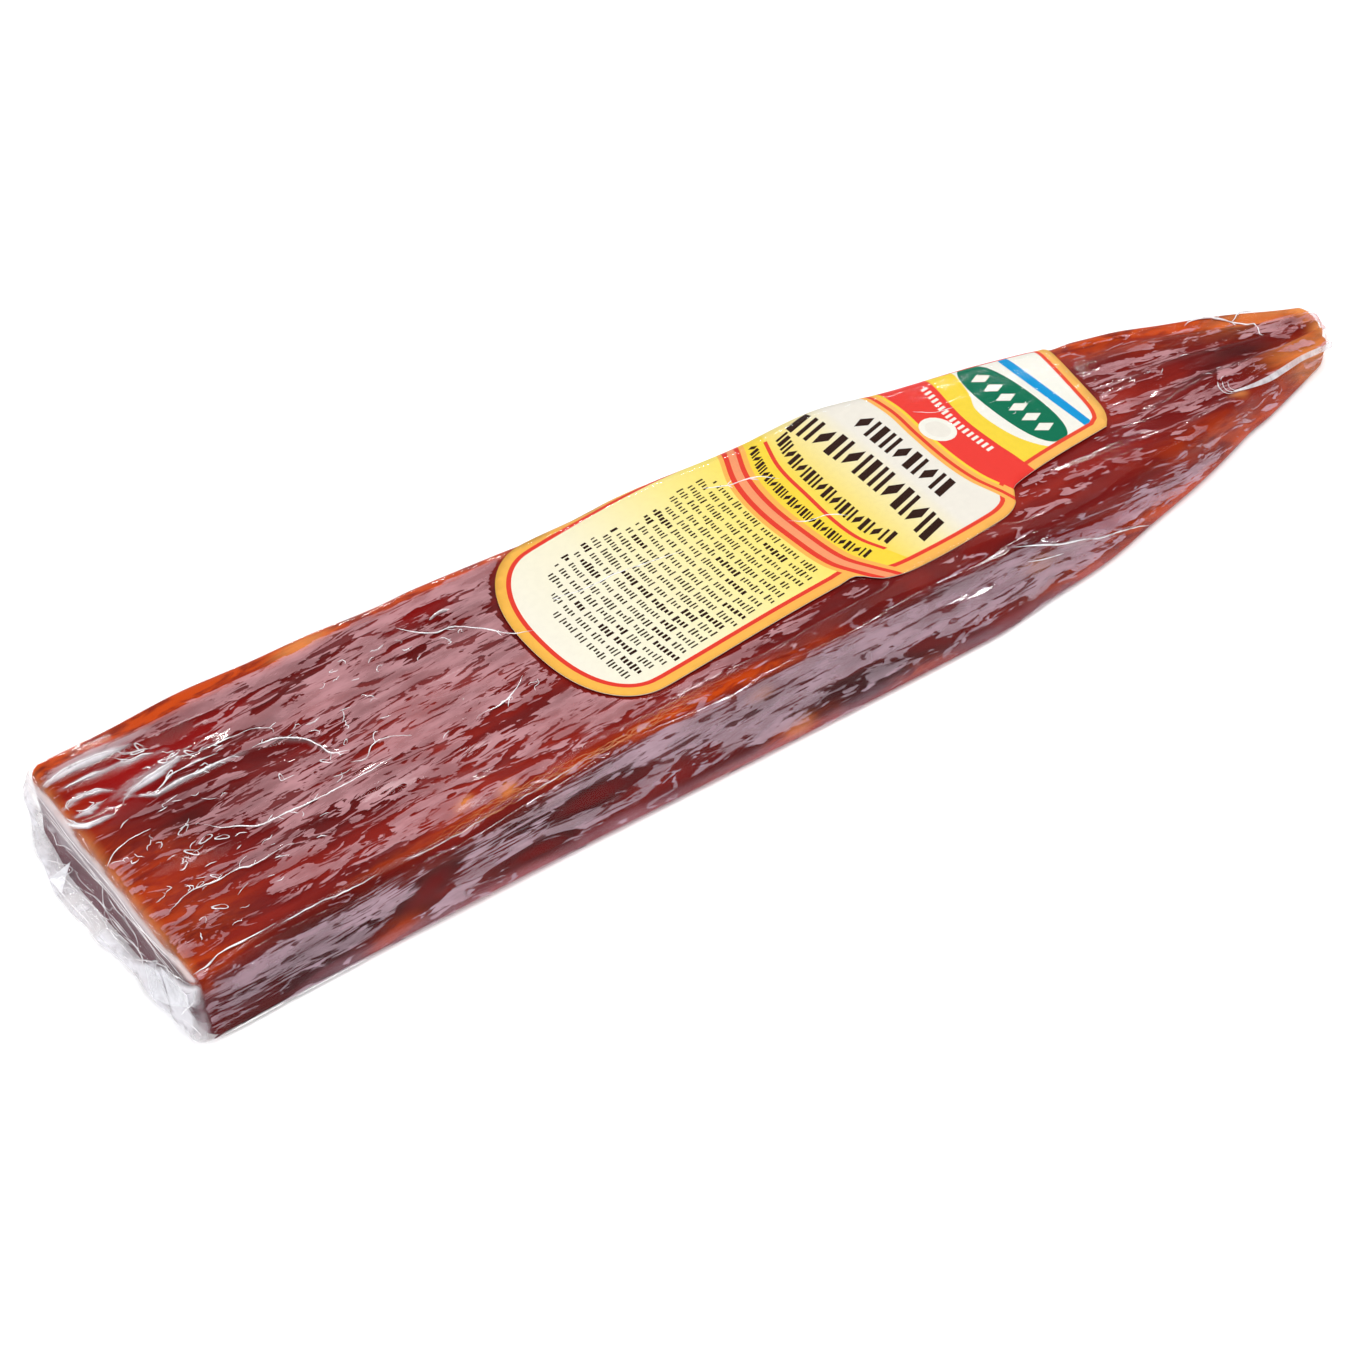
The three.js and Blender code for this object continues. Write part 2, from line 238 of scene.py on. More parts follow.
@dataclass(frozen=True)
class Fold:
    """A raised fold of the film along a straight line, in millimetres of its own plane."""

    start: tuple[float, float]
    end: tuple[float, float]
    height: float
    width: float

    def at(self, u: Array, v: Array) -> Array:
        """Finds how high the fold stands.

        Args:
            u: First coordinates of the places.
            v: Second coordinates of them.

        Returns:
            Heights in millimetres.
        """
        t, away = beside_line(u, v, self.start, self.end)
        tent = np.clip(1 - away / self.width, 0, 1)
        return self.height * (tent * tent) * (rise(t, 0, 0.25) * fall(t, 0.8, 1))


@dataclass(frozen=True)
class FacetWave:
    """A run of straight creases in gathered film, with flat facets between them, painted lighter on
    one side of each crease and darker on the other as lit and shaded facets.
    """

    turn_deg: float
    pitch: float
    start: float
    height: float
    # shade: strength of the painted light and shade on the facets
    shade: float
    bend: tuple[float, float, float] = (0.5, 0.17, 0.31)

    def _share(self, u: Array, v: Array) -> Array:
        """Finds how far some places are past the crease before them.

        Args:
            u: First coordinates of the places.
            v: Second coordinates of them.

        Returns:
            Shares of the pitch.
        """
        turn, (depth, along, up) = math.radians(self.turn_deg), self.bend
        bend = depth * np.sin(u * along + v * up + self.start)
        return (u * math.cos(turn) + v * math.sin(turn) + self.start + bend) / self.pitch % 1

    def height_at(self, u: Array, v: Array) -> Array:
        """How high the facets stand, in millimetres."""
        return self.height * (1 - 2 * np.abs(self._share(u, v) - 0.5))

    def painted_light_at(self, u: Array, v: Array) -> Array:
        """Painted light and shade: how much whiter one side of each crease is than the other, plus
        or minus.
        """
        return np.where(self._share(u, v) < 0.5, self.shade, -self.shade) * 0.5


@dataclass(frozen=True)
class Streak:
    """A stretched fold in the film on top of the bar, with a painted white highlight along its
    crest.
    """

    points: Outline
    width: float
    height: float
    # white: strength of the painted highlight on the crest
    white: float

    def at(self, x: Array, y: Array) -> Array:
        """Finds how near some places are to the fold's crest.

        Args:
            x: Places along the bar.
            y: Places across it.

        Returns:
            1 on the crest, falling to 0 beside it.
        """
        away, share = np.full(x.shape, np.inf), np.zeros(x.shape)
        knots = np.array(self.points, float)
        lengths = np.linalg.norm(np.diff(knots, axis=0), axis=1)
        before = np.concatenate([[0], np.cumsum(lengths)])
        for k, (start, end) in enumerate(zip(knots, knots[1:])):
            t, found = beside_line(x, y, start, end)
            share = np.where(found < away, (before[k] + t * lengths[k]) / before[-1], share)
            away = np.minimum(away, found)
        fade = np.sin(np.pi * (0.04 + 0.92 * share)) ** 0.7
        return fade * np.exp(-((away / (self.width * (0.3 + 0.7 * fade))) ** 4))


@dataclass(frozen=True)
class Dent:
    """A soft hollow in the top of the bar, in millimetres."""

    x: float
    y: float
    length: float
    width: float
    depth: float


@dataclass(frozen=True)
class BarShape:
    """The surface of the sealed bar: its plain sections and the relief on them."""

    size: BarSize = BarSize()
    label_start: float = 88.9
    label_end: float = 229.8
    pleats_across: float = 4.2
    pleat_on_side: float = 0.52
    pleat_on_top: float = 0.75
    grain_depth: float = 0.14
    grain: tuple[tuple[float, float, float, float], ...] = (
        (0.11, 0.62, 0, 0), (0.07, -0.41, 0, 1.3), (0.19, 0.25, 0.9, 4),
    )
    dents: tuple[Dent, ...] = (
        Dent(14, 21, 13, 5, 1.3), Dent(34, 25, 16, 4, 1), Dent(46, 9, 15, 7, 0.8),
        Dent(22, -6, 14, 8, 0.5), Dent(68, -12, 18, 8, 0.35),
    )
    side_fold: Fold = Fold((187, 16.5), (226, 3.2), 1.3, 3.4)
    tip_fold: Fold = Fold((262, -2.5), (295.5, -0.4), 0.9, 2.2)

    def _plain(self, x: Array, ring: Ring) -> Array:
        """Makes closed sections (y, z) without relief, one for each station.

        Args:
            x: Stations along the bar.
            ring: Point counts of a section.

        Returns:
            An array of stations by points by 2.
        """
        size = self.size
        height, shoulder = size.top_height.at(x), size.shoulder_radius.at(x)
        foot = np.minimum(size.foot_radius, height * 0.25)
        zero = np.zeros_like(height)
        sides = (size.near_foot, size.far_foot, size.far_top, size.near_top)
        corners = [np.stack([e.at(x), z], -1) for e, z in zip(sides, (zero, zero, height, height))]
        t = (np.arange(ring.corner + 1) / ring.corner)[None, :, None]
        a, b, c = (1 - t) ** 2, math.sqrt(2) * t * (1 - t), t * t
        arcs = []
        for k, (corner, radius) in enumerate(zip(corners, (foot, foot, shoulder, shoulder))):
            before, after = corners[k - 1] - corner, corners[(k + 1) % 4] - corner
            for side in (before, after):
                side *= (radius / np.linalg.norm(side, axis=1))[:, None]
            bend = (a * before[:, None] + c * after[:, None]) / (a + b + c)
            arcs.append(corner[:, None] + bend)
        parts = []
        for k, steps in enumerate((ring.underside, ring.far_side, ring.top, ring.near_side)):
            last, following = arcs[k][:, -1:], arcs[(k + 1) % 4][:, :1]
            share = (np.arange(1, steps) / steps)[None, :, None]
            parts += [arcs[k], last + (following - last) * share]
        return np.concatenate(parts, axis=1)

    def _relief(self, x: Array, y: Array, z: Array) -> Array:
        """Finds the relief of the bar, outwards from its plain sections.

        Args:
            x: Stations, one to a row.
            y: Places across the bar.
            z: Heights.

        Returns:
            Distances outwards in millimetres.
        """
        size = self.size
        top, near, far = size.top_height.at(x), size.near_top.at(x), size.far_top.at(x)
        across = (y - near) / (far - near)
        on_top = fall(top - z, 0.5, 2.5)
        grain = sum(np.sin(kx * x + ky * y + kz * z + p) for kx, ky, kz, p in self.grain)
        wander = 0.16 * np.sin(2 * np.pi * x / 140)
        more_on_top = self.pleat_on_top - self.pleat_on_side
        depth = (self.pleat_on_side + more_on_top * on_top) * rise(x, 196, 262)
        pleat = np.cos(2 * np.pi * (self.pleats_across * across + wander))
        free = np.maximum.reduce(np.broadcast_arrays(
            rise(self.label_start - x, 6, 14), rise(x - self.label_end, 4, 10),
            fall(across, 0.02, 0.1), rise(top - z, 7, 10),
        ))
        out = (self.grain_depth * grain + depth * pleat) * free
        for dent in self.dents:
            away = ((x - dent.x) / dent.length) ** 2 + ((y - dent.y) / dent.width) ** 2
            out = out - on_top * dent.depth * np.exp(-away)
        out = out + fall(y - near, 1, 5) * self.side_fold.at(x, z)
        out = out + on_top * self.tip_fold.at(x, y)
        out = out + on_top * size.crown * 4 * across * (1 - across)
        return out * rise(z, 1, 5)

    def sections(self, x: Array, ring: Ring, inset: float = 0.0) -> tuple[Array, Array]:
        """Makes sections with their relief.

        Args:
            x: Stations along the bar.
            ring: Point counts of a section.
            inset: How far inside the skin the sections lie.

        Returns:
            Points and the ways they face, each stations by points by 3.
        """
        x = np.asarray(x, float)
        plain = self._plain(x, ring)
        along = np.roll(plain, -1, axis=1) - np.roll(plain, 1, axis=1)
        along /= np.linalg.norm(along, axis=2, keepdims=True)
        y, z = plain[..., 0], plain[..., 1]
        outward = np.stack([np.zeros_like(y), along[..., 1], -along[..., 0]], -1)
        out = self._relief(x[:, None], y, z) - inset
        slant = 0.3 * rise(x, 250, self.size.length)
        drawn_back = slant[:, None] * (self.size.far_top.at(x)[:, None] - y)
        points = np.stack([x[:, None] - drawn_back, y, z], -1) + out[..., None] * outward
        return points, outward

    def section(self, x: float, ring: Ring, inset: float = 0.0) -> Array:
        """The points of a single section."""
        return self.sections(np.array([x]), ring, inset)[0][0]

    def round_the_bar(self, points: Array, ring: Ring) -> Array:
        """Finds how far round the bar the points of some sections lie.

        Args:
            points: Sections, stations by points by 3.
            ring: Point counts of a section.

        Returns:
            The places s in millimetres, stations by points.
        """
        far_foot = ring.corner + ring.underside + ring.corner
        order = (far_foot - np.arange(ring.count)) % ring.count
        path = points[:, order]
        steps = np.linalg.norm(np.diff(path[..., 1:], axis=1), axis=2)
        length = np.concatenate([np.zeros((len(path), 1)), np.cumsum(steps, axis=1)], axis=1)
        first_top = ring.underside + 3 * ring.corner + ring.near_side
        top = slice(first_top, first_top + ring.top)
        middle_y = 6.0
        back = np.empty_like(length)
        for i, y in enumerate(path[:, top, 1]):
            back[i, order] = length[i] - np.interp(min(middle_y, y.max()), y, length[i, top])
        return back


@dataclass(frozen=True)
class CutEnd:
    """How the film closes over the cut face: it rounds over, hollows and has a lip."""

    inset: Profile = Profile(((0, 0), (1, 0.4), (2, 1.3), (3, 3), (4, 4.8)))
    station: Profile = Profile(((0, 2.8), (1, 1.4), (2, 0.4), (3, 0), (4, 0.2)))
    bulge: float = 0.4
    hollow: float = 0.9
    lip_at: tuple[float, ...] = (-32, -22, -10, 5, 17, 26, 35)
    lip_reach: tuple[float, ...] = (0.9, 1.3, 2.4, 3.7, 4.7, 2.3, 0.8)
    rounding_rings: int = 13
    inner_rings: int = 34
    folds: tuple[Fold, ...] = (
        Fold((-27, 2), (-13, 10), 1, 3), Fold((-21, 1), (-5, 6.5), 0.8, 2.6),
        Fold((24, 3), (33, 12), 0.8, 3), Fold((8, 3.2), (24, 7.5), 0.6, 2.4),
    )
    facets: tuple[FacetWave, ...] = (
        FacetWave(62, 10.5, 2, 0.42, 0.3), FacetWave(-48, 9, 5, 0.4, 0.3),
        FacetWave(14, 8, 1, 0.25, 0.22), FacetWave(104, 12, 9, 0.3, 0.24),
        FacetWave(-74, 5.2, 3, 0.16, 0.2),
    )
    white_below: Profile = Profile((
        (-31, 12.9), (-26.5, 12.6), (-20, 10.2), (-14.6, 7.8), (-11, 5), (-7.5, 3.3), (0, 3.2),
        (6.4, 3.7), (13, 3.4), (17, 3.6), (19, 4.6), (23, 8), (28, 10.6), (34, 12.2),
    ))
    band_above: Profile = Profile((
        (-28, 13.4), (-12, 12.4), (-2, 10.2), (8, 7.6), (20, 7), (34, 7),
    ))

    def lip(self, y: Array, z: Array) -> Array:
        """How far the lip at the foot of the cut stands out, in millimetres."""
        return np.interp(y, self.lip_at, self.lip_reach) * fall(z, 0.4, 5.2)

    def gathered(self, y: Array, z: Array) -> Array:
        """1 where the film is gathered in white facets and 0 where it lies on the meat."""
        edge = self.white_below.at(y)
        return fall(z, edge - 0.35, edge + 0.35) * rise(z, 0, 0.6)

    def reach(self, y: Array, z: Array) -> Array:
        """How far the film stands out from the cut, in millimetres."""
        crumpled = sum(wave.height_at(y, z) for wave in self.facets) * self.gathered(y, z)
        return self.lip(y, z) + total(self.folds, y, z) + crumpled

    def whiteness(self, y: Array, z: Array) -> Array:
        """Finds how white the film on the cut is, with painted light and shade on its facets.

        Args:
            y: Places across the cut.
            z: Heights on it.

        Returns:
            Numbers from 0 to 1.
        """
        # painted light and shade of the facets
        shade = sum(wave.painted_light_at(y, z) for wave in self.facets)
        near = rise(-y, 9, 13) * rise(z, 3, 5)
        low_corner = rise(-y, 20, 25) * fall(z, 3, 6)
        white = 0.68 + 0.28 * near - 0.3 * low_corner - 0.24 * rise(y, -8, 0) + 1.35 * shade
        edge = self.band_above.at(y)
        band = (0.24 + 0.3 * rise(z, 12.4, 13.2)) * rise(z, edge - 0.3, edge + 0.3)
        band = band * fall(z, 13.7, 14.1)
        gathered = self.gathered(y, z) * (1 - 0.7 * rise(-y, 27.2, 28.2))
        return gathered * np.clip(white, 0.06, 0.98) + (1 - gathered) * (0.1 + band)

    def rings(self, shape: BarShape, ring: Ring) -> Array:
        """Makes the rings of the film over the cut, from the innermost to the bar's side.

        Args:
            shape: The bar's surface.
            ring: Point counts of a section.

        Returns:
            Rings by points by 3.
        """
        found = []
        last_step, rim_inset = self.inset.knots[-1]
        steps = np.linspace(0, last_step, self.rounding_rings)
        for k, inset, x in zip(steps, self.inset.at(steps), self.station.at(steps)):
            points = drawn_in(shape.section(x, ring), inset)
            reach = self.reach(points[:, 1], points[:, 2]) * rise(k, -1, 1)
            points[:, 0] = x - self.bulge * k / last_step - reach
            found.insert(0, points)
        inner = drawn_in(shape.section(0, ring), rim_inset)
        for scale in np.linspace(1, 0, self.inner_rings + 2)[1:-1]:
            points = drawn_in(inner, scale=scale)
            rim = (self.bulge - 0.2) * fall(1 - scale, 0, 0.3)
            reach = self.reach(points[:, 1], points[:, 2])
            points[:, 0] = self.hollow * (1 - scale) - rim - reach
            found.insert(0, points)
        return np.array(found)


@dataclass(frozen=True)
class TipEnd:
    """How the film closes over the blunt tip."""

    steps: Outline = ((0, 2.6), (0.25, 1.9), (0.5, 1.35), (0.8, 0.9), (1.2, 0.45), (1.8, 0.1))
    scales: tuple[float, ...] = (0.8, 0.6, 0.45, 0.3, 0.2, 0.1)
    bulge: float = 0.3

    def rings(self, shape: BarShape, ring: Ring) -> Array:
        """Makes the rings of the film over the tip, from the bar's side inwards.

        Args:
            shape: The bar's surface.
            ring: Point counts of a section.

        Returns:
            Rings by points by 3.
        """
        length = shape.size.length
        found = [
            drawn_in(shape.section(length - short, ring), inset) for inset, short in self.steps
        ]
        blunt = found[-1]
        for scale in self.scales:
            points = drawn_in(blunt, scale=scale)
            points[:, 0] += self.bulge * (1 - scale)
            found.append(points)
        return np.array(found)


class MeshMaker:
    """Turns arrays into Blender meshes."""

    @staticmethod
    def link(name: str, data: bpy.types.ID) -> Object:
        """Makes an object in the scene.

        Args:
            name: Its name.
            data: Its mesh, light or camera.

        Returns:
            The object.
        """
        obj = bpy.data.objects.new(name, data)
        bpy.context.scene.collection.objects.link(obj)
        return obj

    @classmethod
    def plain(
        cls, name: str, points: Sequence, edges: Sequence = (), faces: Sequence = ()
    ) -> Object:
        """Makes an object from points in metres.

        Args:
            name: Its name.
            points: Its points.
            edges: Pairs of points.
            faces: Corner indices of each face.

        Returns:
            The object.
        """
        mesh = bpy.data.meshes.new(name)
        mesh.from_pydata(points, edges, faces)
        return cls.link(name, mesh)

    @classmethod
    def build(
        cls, name: str, points: Array, faces: Faces, materials: Sequence[Material],
        kinds: Sequence[int] | None = None, smooth: bool = True,
    ) -> Object:
        """Makes a piece from points in millimetres.

        Args:
            name: Its name.
            points: Its points in the bar's own frame.
            faces: Corner indices of each face.
            materials: Its finishes.
            kinds: Which finish each face has, if there are several.
            smooth: Whether it is shaded smooth.

        Returns:
            The object.
        """
        obj = cls.plain(name, to_row(points).tolist(), [], [tuple(map(int, f)) for f in faces])
        mesh = obj.data
        for material in materials:
            mesh.materials.append(material)
        if kinds is not None:
            mesh.polygons.foreach_set("material_index", np.asarray(kinds, np.int32))
        mesh.polygons.foreach_set("use_smooth", np.full(len(faces), smooth))
        mesh.update()
        LOG.info("%s: %d faces", name, len(faces))
        return obj

    @staticmethod
    def paint(obj: Object, **layers: Array) -> None:
        """Stores numbers or vectors on the points of an object's mesh.

        Args:
            obj: The object.
            **layers: One number to a point, or three, for each named attribute.
        """
        for name, values in layers.items():
            values = np.asarray(values, np.float32)
            kind, part = ("FLOAT", "value") if values.ndim == 1 else ("FLOAT_VECTOR", "vector")
            obj.data.attributes.new(name, kind, "POINT").data.foreach_set(part, values.ravel())

    @staticmethod
    def skin_over(rings: Array) -> tuple[Array, Faces]:
        """Makes one closed skin over a row of rings, with a point in the middle of each end.

        Args:
            rings: Rings by points by 3.

        Returns:
            The points, and the faces over them.
        """
        rows, count = rings.shape[:2]
        i, k = np.meshgrid(np.arange(rows - 1), np.arange(count), indexing="ij")
        a, b = i * count + k, i * count + (k + 1) % count
        faces = [tuple(f) for f in np.stack([a, b, b + count, a + count], -1).reshape(-1, 4)]
        middles = [(r.min(axis=0) + r.max(axis=0)) / 2 for r in (rings[0], rings[-1])]
        start, end, last = rows * count, rows * count + 1, (rows - 1) * count
        for j in range(count):
            following = (j + 1) % count
            faces += [(start, following, j), (end, last + j, last + following)]
        return np.concatenate([rings.reshape(-1, 3), middles]), faces


@dataclass(frozen=True)
class Patch:
    """A soft oval area on the skin, in millimetres, that adds to a painted number."""

    x: float
    s: float
    half_length: float
    half_width: float
    amount: float
    turn_deg: float = 0.0

    def at(self, x: Array, s: Array) -> Array:
        """Finds what the patch adds.

        Args:
            x: Places along the bar.
            s: Places round it.

        Returns:
            The amounts.
        """
        turn = math.radians(self.turn_deg)
        dx, ds = x - self.x, s - self.s
        u = (dx * math.cos(turn) + ds * math.sin(turn)) / self.half_length
        v = (-dx * math.sin(turn) + ds * math.cos(turn)) / self.half_width
        return self.amount * np.exp(-((u * u + v * v) ** 1.5))


@dataclass(frozen=True)
class Ripple:
    """A soft irregular wave of the film, longer along the bar than across it."""

    along: float
    across: float
    height: float
    seed: float

    def at(self, x: Array, s: Array) -> Array:
        """Heights of the wave at places along the bar and round it, in millimetres."""
        flat = zip((x / self.along).flat, (s / self.across).flat)
        return self.height * np.reshape([noise.noise((u, v, self.seed)) for u, v in flat], x.shape)


# Finishes


class Wiring:
    """Adds nodes to a tree and wires them."""

    def __init__(self, tree: bpy.types.NodeTree) -> None:
        """Keeps the tree, emptied."""
        self.tree = tree
        tree.nodes.clear()

    def node(self, kind: str, inputs: dict | None = None, **settings: object) -> bpy.types.Node:
        """Adds a node.

        Args:
            kind: Its type.
            inputs: A value or another node's socket for each input, which is given by its
                identifier, its name or its number.
            **settings: Properties of the node.

        Returns:
            The node.
        """
        made = self.tree.nodes.new(kind)
        for key, value in settings.items():
            setattr(made, key, value)
        for key, value in (inputs or {}).items():
            socket = next((s for s in made.inputs if s.identifier == key), None)
            socket = socket or made.inputs[key]
            if isinstance(value, Socket):
                self.tree.links.new(value, socket)
            elif socket.type == "RGBA":
                socket.default_value = (*value[:3], 1)
            else:
                socket.default_value = value
        return made

    def add(self, kind: str, inputs: dict | None = None, **settings: object) -> Socket:
        """Adds a node as node() does, and gives its first output."""
        return self.node(kind, inputs, **settings).outputs[0]


class Graph(Wiring):
    """The shader nodes of one material."""

    MIXED_COLOUR = 2

    def __init__(self, name: str) -> None:
        """Makes an empty material.

        Args:
            name: Its name.
        """
        self.material = bpy.data.materials.new(name)
        self.material.use_nodes = True
        super().__init__(self.material.node_tree)

    def math(self, operation: str, *values: object, clamp: bool = False) -> Socket:
        """The result of an operation on numbers or sockets, kept from 0 to 1 by clamp."""
        inputs = dict(enumerate(values))
        return self.add("ShaderNodeMath", inputs, operation=operation, use_clamp=clamp)

    def times(self, first: object, second: object, clamp: bool = False) -> Socket:
        """The product of two numbers or sockets."""
        return self.math("MULTIPLY", first, second, clamp=clamp)

    def painted(self, name: str, output: str = "Fac") -> Socket:
        """What is painted on the piece under a name, a number or a vector."""
        return self.node("ShaderNodeAttribute", attribute_name=name).outputs[output]

    def place(self) -> Socket:
        """Places in the object's own coordinates, in metres."""
        return self.node("ShaderNodeTexCoord").outputs["Object"]

    def noise(
        self, vector: Socket, scale: Sequence[float], turn: float = 0.0,
        detail: float = 3.0, roughness: float = 0.5, distortion: float = 0.0,
    ) -> Socket:
        """Adds a noise texture.

        Args:
            vector: Its coordinates.
            scale: Its repeats to a metre on each axis.
            turn: Its turn about z in radians.
            detail: Its octaves.
            roughness: How strong the finer ones are.
            distortion: How much it is bent.

        Returns:
            Its value.
        """
        mapping = {"Vector": vector, "Scale": scale, "Rotation": (0, 0, turn)}
        return self.add("ShaderNodeTexNoise", {
            "Vector": self.add("ShaderNodeMapping", mapping), "Scale": 1,
            "Detail": detail, "Roughness": roughness, "Distortion": distortion,
        })

    def ramp(
        self, value: Socket, low: float, high: float, first: float = 0.0, last: float = 1.0
    ) -> Socket:
        """A value mapped smoothly from the range low to high to the range first to last."""
        inputs = {"Value": value, 1: low, 2: high, 3: first, 4: last}
        return self.add("ShaderNodeMapRange", inputs, interpolation_type="SMOOTHSTEP")

    def colours(self, value: Socket, stops: Sequence[tuple[float, Colour]]) -> Socket:
        """Adds a colour ramp.

        Args:
            value: What it reads.
            stops: Place and linear colour of each stop.

        Returns:
            Its colour.
        """
        made = self.node("ShaderNodeValToRGB", {"Fac": value})
        elements = made.color_ramp.elements
        while len(elements) < len(stops):
            elements.new(0.5)
        for element, (place, colour) in zip(elements, stops):
            element.position = place
            element.color = (*colour, 1)
        return made.outputs["Color"]

    def mix(self, factor: object, first: object, second: object) -> Socket:
        """Two colours or sockets mixed, with the factor as the second one's share."""
        inputs = {"Factor_Float": factor, "A_Color": first, "B_Color": second}
        return self.node("ShaderNodeMix", inputs, data_type="RGBA").outputs[self.MIXED_COLOUR]

    def blend(self, factor: object, first: Socket, second: Socket) -> Socket:
        """Two shaders mixed, with the factor as the second one's share."""
        return self.add("ShaderNodeMixShader", {0: factor, 1: first, 2: second})

    def bump(self, height: Socket, strength: float, distance: float) -> Socket:
        """A normal bent by heights."""
        inputs = {"Height": height, "Strength": strength, "Distance": distance}
        return self.add("ShaderNodeBump", inputs)

    def coat(self, colour: object, roughness: float, specular: float, **more: Socket) -> Socket:
        """A principled shader with a colour, a roughness and a specular level."""
        inputs = {"Base Color": colour, "Roughness": roughness, "Specular IOR Level": specular}
        return self.add("ShaderNodeBsdfPrincipled", inputs | more)

    def finish(self, surface: Socket) -> Material:
        """The material with a shader as its surface."""
        self.node("ShaderNodeOutputMaterial", {"Surface": surface})
        return self.material


def srgb(*display: float) -> Colour:
    """Turns red, green and blue from 0 to 255 into linear light."""
    shares = [value / 255 for value in display]
    return tuple(s / 12.92 if s <= 0.04045 else ((s + 0.055) / 1.055) ** 2.4 for s in shares)


@dataclass(frozen=True)
class MeatFinish:
    """Dark red cured meat with amber edges, the amber painted as light shining through the thin
    meat, seen in the round.
    """

    dark: Colour = srgb(62, 3, 4)
    middle: Colour = srgb(109, 15, 12)
    light: Colour = srgb(148, 34, 20)
    vivid: Colour = srgb(140, 5, 2)
    amber: Colour = srgb(194, 68, 6)
    pale: Colour = srgb(224, 142, 76)
    raw: Colour = srgb(104, 52, 62)
    roughness: float = 0.5
    specular: float = 0.05

    def material(self) -> Material:
        """Makes the finish.

        Returns:
            The material.
        """
        g = Graph("cured_meat")
        skin = g.painted("skin", "Vector")
        fibre = g.noise(skin, (28, 210, 60), 0.05, 5, 0.62, 0.5)
        cloud = g.noise(skin, (24, 60, 60), 0.1, 3, 0.55, 0.8)
        tone = g.math("ADD", g.times(fibre, 0.45), g.times(cloud, 0.55))
        tone = g.math("ADD", tone, g.painted("tone"))
        colour = g.colours(tone, ((0.32, self.dark), (0.5, self.middle), (0.68, self.light)))
        colour = g.mix(g.painted("vivid"), colour, self.vivid)
        blotch = g.noise(skin, (120, 420, 60), 0.08, 4, 0.62, 0.8)
        uneven = g.times(g.ramp(fibre, 0.2, 0.75, 0.7, 1.15), g.ramp(blotch, 0.36, 0.6, 0.3, 1.25))
        # amber: orange where light shines through thin meat, painted into the colour
        colour = g.mix(g.times(g.painted("amber"), uneven, True), colour, self.amber)
        fat = g.times(g.painted("fat"), g.ramp(fibre, 0.25, 0.7, 0.5, 1.2), True)
        colour = g.mix(fat, colour, self.pale)
        colour = g.mix(g.painted("raw"), colour, self.raw)
        normal = g.bump(fibre, 0.25, 0.0004)
        return g.finish(g.coat(colour, self.roughness, self.specular, Normal=normal))


